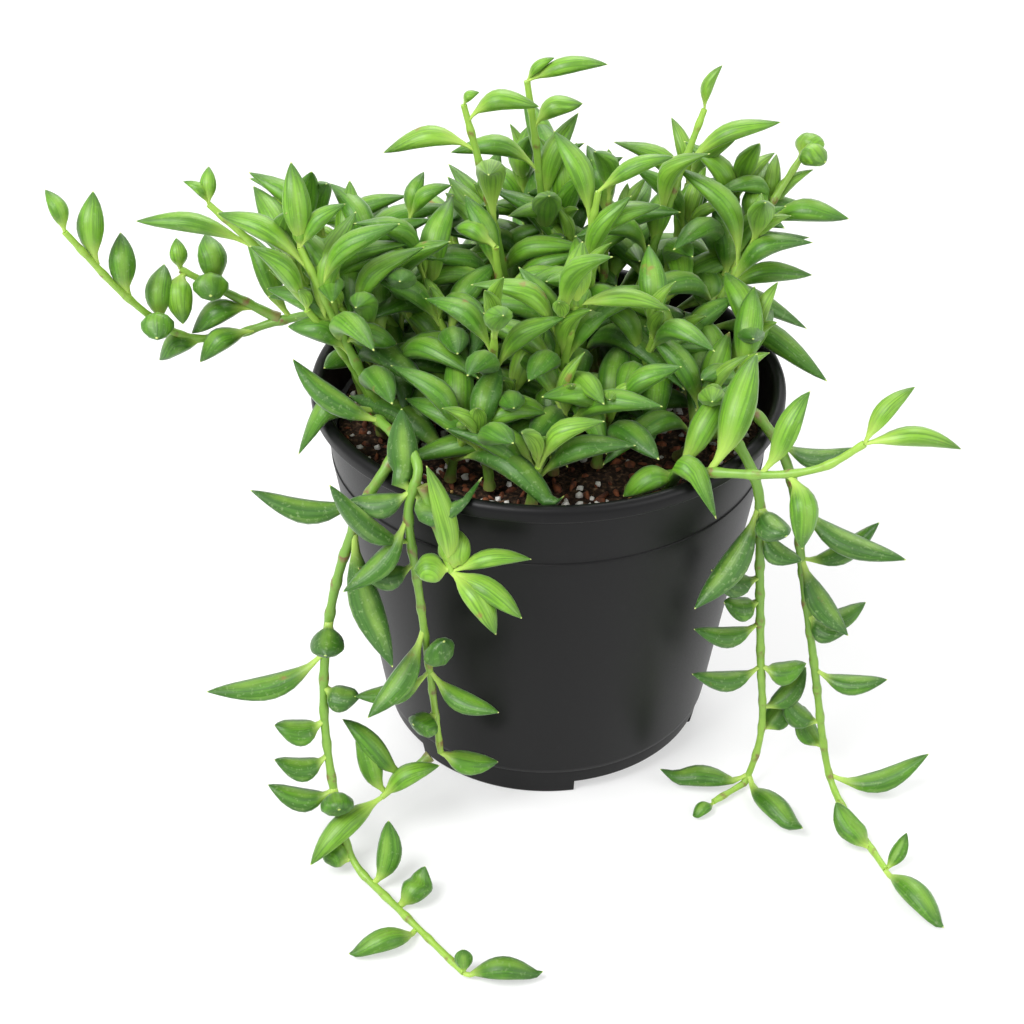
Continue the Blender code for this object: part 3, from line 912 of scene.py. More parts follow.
@dataclass
class PottingMix:
    """The plug of mix with a crumbly top, and the grains in it. In mm."""

    radius: float
    top: float
    bottom: float
    foot_radius: float
    rings: int = 46
    spokes: int = 150
    shoulder_drop: float = 6.0
    sunk: float = 0.9
    clod_span: float = 9.0
    clod_rise: float = 0.8
    crumb_span: float = 2.2
    crumb_rise: float = 0.55
    bed_rows: int = 14
    bed_columns: int = 60

    def top_height(self, x: float, y: float) -> float:
        """Height of the crumbly surface.

        Args:
            x: The place along X, in mm.
            y: The place along Y, in mm.

        Returns:
            The height there, in mm.
        """
        coarse = noise.noise(Vector((x / self.clod_span, y / self.clod_span, 3.0)))
        fine = noise.noise(Vector((x / self.crumb_span, y / self.crumb_span, 7.0)))
        return self.top - self.sunk + self.clod_rise * coarse + self.crumb_rise * fine

    def build_plug(self) -> None:
        """The closed plug with its uneven top."""
        mesh = bpy.data.meshes.new("potting_mix")
        form = bmesh.new()
        centre = form.verts.new(Vector((0, 0, self.top_height(0, 0))) * MM)
        last = None
        levels = [(self.radius * (i + 1) / self.rings, None) for i in range(self.rings)]
        levels += [(self.radius, self.top - self.shoulder_drop), (self.foot_radius, self.bottom)]
        for distance, height in levels:
            ring = []
            for k in range(self.spokes):
                place = level_way(360.0 * k / self.spokes) * distance
                place.z = self.top_height(place.x, place.y) if height is None else height
                ring.append(form.verts.new(place * MM))
            for k in range(self.spokes):
                after = (k + 1) % self.spokes
                if last is None:
                    form.faces.new((centre, ring[k], ring[after]))
                else:
                    form.faces.new((last[k], ring[k], ring[after], last[after]))
            last = ring
        form.faces.new(last[::-1])
        bmesh.ops.recalc_face_normals(form, faces=form.faces)
        form.to_mesh(mesh)
        form.free()
        mesh.shade_smooth()
        mesh.materials.append(PeatMix().build())
        dress(new_object("potting_mix", mesh), ["soil"])

    def bed(self, name: str, inner: float, outer: float, first: float, last: float) -> bpy.types.Mesh:
        """The part of the top that a kind of grain lies on.

        Args:
            name: The mesh's name.
            inner: Its inner radius.
            outer: Its outer radius.
            first: Heading where it starts.
            last: Heading where it ends.

        Returns:
            A fan of quads on the crumbly top.
        """
        mesh = bpy.data.meshes.new(name)
        form = bmesh.new()
        rows, columns = self.bed_rows, self.bed_columns
        grid = []
        for i in range(rows + 1):
            distance = inner + (outer - inner) * i / rows
            row = []
            for k in range(columns + 1):
                place = level_way(first + (last - first) * k / columns) * distance
                place.z = self.top_height(place.x, place.y)
                row.append(form.verts.new(place * MM))
            grid.append(row)
        for one, two in zip(grid, grid[1:]):
            for k in range(columns):
                form.faces.new((one[k], two[k], two[k + 1], one[k + 1]))
        form.to_mesh(mesh)
        form.free()
        return mesh

    def build(self) -> None:
        """The plug, then perlite, bark, amber grit and pumice on it."""
        self.build_plug()
        tree = grain_tree()
        white = Grain("expanded_perlite", "C9C6BE", "F2F0EA", 0.9).build()
        bark = Grain("composted_pine_bark", "3E2013", "8A4F2E", 0.8).build()
        amber = Grain("amber_quartz_grit", "8F6A2E", "D6B36A", 0.45).build()
        grey = Grain("grey_pumice", "7F7F7C", "BDBCB7", 0.9).build()
        edge = self.radius - 1.5
        kinds = [
            ("perlite_grains", (0, edge), (0, 360), 34000.0, 2.3, 0.8, 3.0, 3, white),
            ("perlite_front", (edge - 13, edge), (-118, -62), 120000.0, 2.9, 0.8, 2.4, 5, white),
            ("bark_chips", (0, edge), (0, 360), 90000.0, 3.4, 0.35, 2.4, 8, bark),
            ("amber_grit", (edge - 11, edge), (-125, -55), 130000.0, 1.6, 0.85, 1.7, 13, amber),
            ("pumice_stones", (0, edge), (-20, 60), 30000.0, 3.2, 0.75, 4.4, 21, grey),
        ]
        for name, (inner, outer), (first, last), density, size, flat, apart, seed, skin in kinds:
            values = {"Density": density, "Size": size * MM, "Flatness": flat, "Apart": apart * MM}
            values.update({"Seed": seed, "Skin": skin})
            bed = self.bed(name, max(inner, 0.5), outer, first, last)
            dress(grow(name, bed, tree, values))


# ---------------------------------------------------------------------------------------------
# Shoots and leaves


def level_way(heading: float) -> Vector:
    """The level unit vector of a heading in degrees."""
    turn = math.radians(heading)
    return Vector((math.cos(turn), math.sin(turn), 0.0))


def sloping_way(heading: float, rise: float) -> Vector:
    """The unit vector of a heading and a rise in degrees."""
    lift = math.radians(rise)
    return level_way(heading) * math.cos(lift) + Vector((0.0, 0.0, math.sin(lift)))


def around(heading: float, distance: float, height: float) -> Vector:
    """A point by its heading from the pot's axis, its distance from it and its height."""
    return level_way(heading) * distance + Vector((0.0, 0.0, height))


def smooth_slope(knots: list[Vector], i: int) -> Vector:
    """The slope of a smooth curve at one of its points.

    Args:
        knots: The points.
        i: The point's number.

    Returns:
        The slope, as the change from one point to the next.
    """
    before = knots[max(i - 1, 0)]
    after = knots[min(i + 1, len(knots) - 1)]
    return (after - before) / (2 if 0 < i < len(knots) - 1 else 1)


def smooth_path(route: list[Vector], spacing: float) -> list[Vector]:
    """Evenly spaced points on a smooth curve through a route.

    Args:
        route: The points that it passes, in mm.
        spacing: The step between the points returned, in mm.

    Returns:
        The points, in mm.
    """
    steps = 16
    fine = []
    for i in range(len(route) - 1):
        leaving = smooth_slope(route, i)
        arriving = smooth_slope(route, i + 1)
        for k in range(steps):
            t = k / steps
            fine.append(
                (2 * t**3 - 3 * t**2 + 1) * route[i]
                + (t**3 - 2 * t**2 + t) * leaving
                + (3 * t**2 - 2 * t**3) * route[i + 1]
                + (t**3 - t**2) * arriving
            )
    fine.append(route[-1])
    lengths = [0.0]
    for one, two in zip(fine, fine[1:]):
        lengths.append(lengths[-1] + (two - one).length)
    count = max(3, round(lengths[-1] / spacing))
    path = []
    j = 0
    for i in range(count + 1):
        want = lengths[-1] * i / count
        while j < len(fine) - 2 and lengths[j + 1] < want:
            j += 1
        part = (want - lengths[j]) / (lengths[j + 1] - lengths[j])
        path.append(fine[j].lerp(fine[j + 1], min(part, 1.0)))
    return path


def place_on(path: list[Vector], share: float) -> tuple[Vector, Vector]:
    """A place on a path.

    Args:
        path: The path's evenly spaced points.
        share: The share of its length, from 0 to 1.

    Returns:
        The point and the direction there.
    """
    spot = share * (len(path) - 1)
    low = min(int(spot), len(path) - 2)
    return path[low].lerp(path[low + 1], spot - low), (path[low + 1] - path[low]).normalized()


class Habit(Enum):
    """How a shoot grows."""

    STANDING = "stands up and leans"
    REACHING = "climbs over the rim and reaches out"
    TRAILING = "hangs down the wall"
    SIDE = "leaves another shoot"


@dataclass(frozen=True)
class Leaf:
    """One leaf: its place along the shoot, the way it points, its length and its look."""

    share: float
    heading: float
    rise: float
    length: float
    plump: float = 0.3
    tone: float = 0.5
    bow: float = 0.08
    slim: float = 1.0


@dataclass
class Grower:
    """The rules that shoots and leaves grow by, around one pot. In mm."""

    pot: NurseryPot
    soil_top: float
    foot_clear: float = 1.1
    thick: float = 1.35
    thin: float = 0.8
    shoulder: float = 2.0
    gap: float = 0.3
    lie_height: float = 1.6
    spacing: float = 6.0
    rim_room: float = 4.0
    rim_turn: float = 80.0
    rim_lift: float = 10.0
    steep: float = 50.0
    surface_gap: float = 0.4
    wall_gap: float = 0.3
    climb_start: float = 7.0
    climb_run: float = 5.0
    fall: float = 1.1
    fine_spacing: float = 2.0

    @property
    def foot_height(self) -> float:
        """Where a shoot's foot sits in the mix."""
        return self.soil_top + self.foot_clear

    def standing(
        self, heading: float, distance: float, gain: float, lean: float, reach: float, bend: float
    ) -> list[Vector]:
        """A shoot that stands up from the mix and leans over towards its tip.

        Args:
            heading: The foot's heading from the pot's axis.
            distance: The foot's distance from the axis.
            gain: The height that it gains.
            lean: The heading that it leans to.
            reach: How far its tip leans.
            bend: How late it leans; 1 is a straight lean.

        Returns:
            The route.
        """
        foot = around(heading, distance, self.foot_height)
        shares = [i / 4 for i in range(5)]
        return [foot + level_way(lean) * reach * t**bend + Vector((0.0, 0.0, gain * t)) for t in shares]

    def reaching(
        self, heading: float, distance: float, crest: float, way: float, reach: float,
        swing: float, sag: float, lift: float,
    ) -> list[Vector]:
        """A shoot that climbs over the rim, sags as it reaches out and lifts its tip.

        Args:
            heading: The foot's heading from the pot's axis.
            distance: The foot's distance from the axis.
            crest: Its height over the rim.
            way: The heading that it reaches to.
            reach: How far it reaches.
            swing: How far it bows to its left halfway.
            sag: How far it sags past the rim.
            lift: How far its tip lifts.

        Returns:
            The route.
        """
        foot = around(heading, distance, self.foot_height)
        climb = self.pot.height + crest - self.foot_height
        route = []
        for t in [i / 8 for i in range(9)]:
            height = climb * (1 - (1 - t) ** 4) + lift * t**6 - sag * math.sin(math.pi * t**2) ** 2
            aside = level_way(way + 90) * swing * math.sin(math.pi * t)
            route.append(foot + level_way(way) * reach * t + aside + Vector((0.0, 0.0, height)))
        return route

    def trailing(
        self, heading: float, distance: float, clear: float, cross: float, drift: float,
        sway: float, spread: float, low: float, lie: float, run: float,
    ) -> list[Vector]:
        """A shoot that climbs over the rim, hangs down the wall and, if long, lies on the surface.

        Args:
            heading: The foot's heading from the pot's axis.
            distance: The foot's distance from the axis.
            clear: How far it passes over the rim.
            cross: The heading where it crosses the rim.
            drift: How far its heading changes on the way down.
            sway: How far its heading swings out halfway.
            spread: How much farther out it ends than it starts.
            low: The height where it ends.
            lie: The heading of the part that lies on the surface.
            run: The length of that part.

        Returns:
            The route.
        """
        top = self.pot.height + clear
        inside = self.pot.rim_radius - self.pot.rim_lip - 3 * self.shoulder
        route = [
            around(heading, distance, self.foot_height),
            around((heading + cross) / 2, inside, top),
            around(cross, self.pot.rim_radius - self.pot.rim_lip / 2, top + self.shoulder / 2),
        ]
        for t in (0.12, 0.4, 0.7, 1.0):
            way = cross + drift * t + sway * math.sin(math.pi * t)
            outside = self.pot.rim_radius + 2 * self.shoulder + spread * t
            route.append(around(way, outside, top + (low - top) * t))
        if run > 0:
            touch = Vector((route[-1].x, route[-1].y, self.lie_height))
            route += [touch + level_way(lie) * run * t for t in (0.3, 0.65, 1.0)]
        return route

    def side(
        self, carrier: list[Vector], share: float, heading: float, reach: float, drop: float
    ) -> list[Vector]:
        """A shoot that leaves another one, a gap clear of it, and bends down.

        Args:
            carrier: The other shoot's route.
            share: The share of that shoot's length where it leaves.
            heading: The heading that it goes to.
            reach: How far it reaches.
            drop: How far its tip lies under its start.

        Returns:
            The route.
        """
        spot = place_on(smooth_path(carrier, self.spacing), share)[0]
        start = spot + level_way(heading) * (2 * self.thick + self.gap)
        shares = [i / 2 for i in range(3)]
        return [start + level_way(heading) * reach * t - Vector((0.0, 0.0, drop * t)) for t in shares]

    def route(self, habit: Habit, settings: tuple, carrier: list[Vector] | None = None) -> list[Vector]:
        """A shoot's route by its habit.

        Args:
            habit: The habit.
            settings: What the habit's rule takes, in its order.
            carrier: The other shoot's route, for one that leaves a shoot.

        Returns:
            The route.
        """
        if habit is Habit.SIDE:
            return self.side(carrier, *settings)
        rules = {
            Habit.STANDING: self.standing,
            Habit.REACHING: self.reaching,
            Habit.TRAILING: self.trailing,
        }
        return rules[habit](*settings)

    def along_rim(self, route: list[Vector], leaves: list[Leaf]) -> list[Leaf]:
        """Turn the low leaves that would cross the front rim so that they lie along it.

        Args:
            route: The shoot's route.
            leaves: Its leaves.

        Returns:
            The leaves, with those turned.
        """
        path = smooth_path(route, self.fine_spacing)
        kept = []
        for leaf in leaves:
            spot = place_on(path, min(leaf.share, 1.0))[0]
            tip = spot + sloping_way(leaf.heading, leaf.rise) * leaf.length
            near = tip.y < 0 and tip.xy.length > self.pot.rim_radius - self.rim_room
            if near and leaf.rise < self.steep:
                rim_way = math.degrees(math.atan2(tip.y, tip.x))
                side = math.copysign(self.rim_turn, math.sin(math.radians(leaf.heading - rim_way)))
                leaf = replace(leaf, heading=rim_way + side, rise=leaf.rise + self.rim_lift)
            kept.append(leaf)
        return kept

    def keep_clear(self, place: Vector, size: float, inside: bool) -> Vector:
        """Move a leaf's middle line off the surface, the mix and the pot.

        Args:
            place: A point of the line.
            size: The leaf's radius there.
            inside: Whether the leaf starts inside the rim.

        Returns:
            The point, moved only as far as it must.
        """
        away = math.hypot(place.x, place.y)
        moved = place.copy()
        rim_top = self.pot.height + size * 0.8 + self.surface_gap
        if inside:
            lip = self.pot.rim_radius - self.pot.rim_lip
            climb = min(1.0, max(0.0, (away - lip + self.climb_start) / self.climb_run))
            low = self.soil_top + size * 0.6
            low += (rim_top - low) * climb - self.fall * max(0.0, away - self.pot.rim_radius)
            moved.z = max(moved.z, low)
        if not inside and moved.z < self.pot.height + size:
            wall = self.pot.rim_radius if moved.z > self.pot.height - self.pot.rim_band - size else 0.0
            wall = max(wall, self.pot.wall_radius(moved.z)) + size * 0.9 + self.wall_gap
            if 0.0 < away < wall:
                moved.x *= wall / away
                moved.y *= wall / away
        moved.z = max(moved.z, size + self.surface_gap)
        return moved


def path_length(path: list[Vector]) -> float:
    """The length of a path."""
    return sum((two - one).length for one, two in zip(path, path[1:]))


@dataclass
class Shoot:
    """The route of a stem and the leaves along it."""

    route: list[Vector]
    leaves: list[Leaf]


@dataclass
class Bunch:
    """Shoots that make one piece of stems and one of leaves. Lengths in mm."""

    name: str
    shoots: list[Shoot]
    stem_nodes: list[str] = field(default_factory=list)
    leaf_nodes: list[str] = field(default_factory=list)
    knots: float = 9.0
    leaf_points: int = 15
    base_width: float = 5.2
    width_by_length: float = 0.09
    width_by_plump: float = 1.5
    root_depth: float = 0.6
    swing: float = 0.55
    rooted: float = 0.08
    lie_factor: float = 1.45

    def width(self, leaf: Leaf) -> float:
        """A leaf's full width: long leaves are a little wider, young ones are slim."""
        grown = self.base_width + self.width_by_length * leaf.length
        return (grown + self.width_by_plump * leaf.plump) * leaf.slim

    def leaf_line(
        self, grower: Grower, path: list[Vector], leaf: Leaf
    ) -> tuple[list[Vector], Vector, Vector]:
        """The guide line of one leaf.

        Args:
            grower: The rules of growth.
            path: The shoot's fine path.
            leaf: The leaf.

        Returns:
            The line's points, the leaf's upward direction and its sideways direction.
        """
        spot, tangent = place_on(path, min(leaf.share, 1.0))
        along = sloping_way(leaf.heading, leaf.rise)
        over = sloping_way(leaf.heading, leaf.rise + 90)
        off = along - tangent * along.dot(tangent)
        if leaf.share < 1.0 and off.length > 0.05:
            spot = spot + off.normalized() * grower.thin * self.root_depth
        inside = math.hypot(spot.x, spot.y) < grower.pot.rim_radius and spot.z > grower.soil_top
        swing = tangent * self.swing * leaf.length if leaf.share < 1.0 else Vector()
        line = []
        for i in range(self.leaf_points):
            t = i / (self.leaf_points - 1)
            bowed = over * leaf.bow * (math.sin(math.pi * t) - 0.5 * t**5)
            point = spot + leaf.length * (along * t + bowed) + swing * t * (1 - t) ** 2
            size = self.width(leaf) / 2 * math.sin(math.pi * min(t, 0.999)) ** 0.8
            line.append(grower.keep_clear(point, size, inside) if t > self.rooted else point)
        return line, over, along.cross(over)

    def build_stems(self, grower: Grower, tree: Tree, skin: bpy.types.Material) -> None:
        """Grow and dress the stems along their routes.

        Args:
            grower: The rules of growth.
            tree: The tree that makes stems.
            skin: The stems' material.
        """
        lines = []
        numbers = {"place": [], "age": []}
        for shoot in self.shoots:
            path = smooth_path(shoot.route, grower.fine_spacing)
            for point in path:
                point.z = max(point.z, grower.thick * self.lie_factor)
            last = len(path) - 1
            step = path_length(path) / last
            lines.append(path)
            numbers["place"] += [i * step for i in range(last + 1)]
            numbers["age"] += [1 - i / last for i in range(last + 1)]
        guide = guide_lines(f"stems_{self.name}", lines, numbers, {})
        values = {"Thick": grower.thick * MM, "Thin": grower.thin * MM, "Spacing": self.knots, "Skin": skin}
        dress(grow(f"stems_{self.name}", guide, tree, values), self.stem_nodes)

    def build_leaves(self, grower: Grower, tree: Tree, skin: bpy.types.Material) -> None:
        """Grow and dress all of the leaves.

        Args:
            grower: The rules of growth.
            tree: The tree that makes leaves.
            skin: The leaves' material.
        """
        lines = []
        numbers = {"along": [], "width": [], "plump": [], "tone": []}
        vectors = {"over": [], "beside": []}
        for shoot in self.shoots:
            path = smooth_path(shoot.route, grower.fine_spacing)
            for leaf in shoot.leaves:
                line, over, beside = self.leaf_line(grower, path, leaf)
                count = len(line)
                lines.append(line)
                vectors["over"] += [over] * count
                vectors["beside"] += [beside] * count
                numbers["along"] += [i / (count - 1) for i in range(count)]
                numbers["width"] += [self.width(leaf) * MM] * count
                numbers["plump"] += [leaf.plump] * count
                numbers["tone"] += [leaf.tone] * count
        guide = guide_lines(f"leaves_{self.name}", lines, numbers, vectors)
        dress(grow(f"leaves_{self.name}", guide, tree, {"Skin": skin}), self.leaf_nodes)


@dataclass(frozen=True)
class Winding:
    """Leaves that wind round a shoot by the golden angle, each range from first to last. In mm."""

    count: int
    shares: tuple[float, float] = (0.25, 0.98)
    rises: tuple[float, float] = (10, 55)
    lengths: tuple[float, float] = (33, 25)
    tones: tuple[float, float] = (0.72, 0.38)
    bow: float = 0.13

    def grow(self, seed: str) -> list[Leaf]:
        """The leaves.

        Args:
            seed: What their small differences are drawn from.

        Returns:
            The leaves, from the lowest to the highest.
        """
        draw = random.Random(seed)
        first = draw.uniform(0.0, 360.0)
        leaves = []
        for number in range(self.count):
            step = number / max(self.count - 1, 1)
            ranges = (self.shares, self.rises, self.lengths, self.tones)
            share, rise, length, tone = [ends[0] + (ends[1] - ends[0]) * step for ends in ranges]
            length *= draw.uniform(0.72, 1.15)
            leaves.append(Leaf(
                share=share,
                heading=first + GOLDEN_ANGLE * number + draw.uniform(-15, 15),
                rise=rise + draw.uniform(-18, 18),
                length=length,
                plump=min(1.0, max(0.0, 1.5 - length / 13)),
                tone=min(1.0, max(0.0, tone + draw.uniform(-0.18, 0.18))),
                bow=self.bow * draw.uniform(0.4, 1.5),
            ))
        return leaves


def bud(route: list[Vector], seed: str, tone: float = 0.1) -> list[Leaf]:
    """The young leaves at a shoot's tip, which still point where it grows.

    Args:
        route: The shoot's route.
        seed: What their small differences are drawn from.
        tone: How young they look, 0 for the youngest.

    Returns:
        Two slim leaves.
    """
    draw = random.Random(seed + " bud")
    way = (route[-1] - route[-2]).normalized()
    heading = math.degrees(math.atan2(way.y, way.x))
    rise = math.degrees(math.asin(way.z))
    leaves = []
    for side in (-1, 1):
        leaves.append(Leaf(
            share=1.0,
            heading=heading + side * draw.uniform(15, 60),
            rise=min(80.0, rise + side * draw.uniform(0, 15)),
            length=draw.uniform(7, 19),
            plump=0.0,
            tone=tone,
            bow=0.12,
            slim=0.72,
        ))
    return leaves


# ---------------------------------------------------------------------------------------------
# The plant


@dataclass(frozen=True)
class Rule:
    """How one marked shoot grows, with the leaves that stand out on it and those between them."""

    habit: Habit
    settings: tuple
    leaves: tuple
    between: Winding
    carrier: str = ""


@dataclass(frozen=True)
class Clump:
    """Short shoots spread over part of the mix like a sunflower's seeds. In mm and degrees."""

    name: str
    count: int
    heading: float
    distance: float
    radius: float
    gain: float
    lean: float
    reach: float
    leaves: Winding
    fan: float = 50.0
    edge: float = 48.0
    bend: float = 1.5

    def shoots(self, grower: Grower) -> list[Shoot]:
        """The clump's shoots, which fan out round its lean.

        Args:
            grower: The rules of growth.

        Returns:
            The shoots.
        """
        middle = around(self.heading, self.distance, 0.0)
        grown = []
        for number in range(self.count):
            seed = f"{self.name} {number}"
            draw = random.Random(seed)
            spread = self.radius * math.sqrt((number + 0.5) / self.count)
            foot = middle + level_way(GOLDEN_ANGLE * number) * spread
            distance = min(foot.length, self.edge)
            heading = math.degrees(math.atan2(foot.y, foot.x))
            gain = self.gain * draw.uniform(0.75, 1.2)
            lean = self.lean + draw.uniform(-self.fan, self.fan)
            reach = self.reach * draw.uniform(0.6, 1.3)
            route = grower.standing(heading, distance, gain, lean, reach, self.bend)
            leaves = grower.along_rim(route, self.leaves.grow(seed))
            grown.append(Shoot(route, leaves + bud(route, seed)))
        return grown


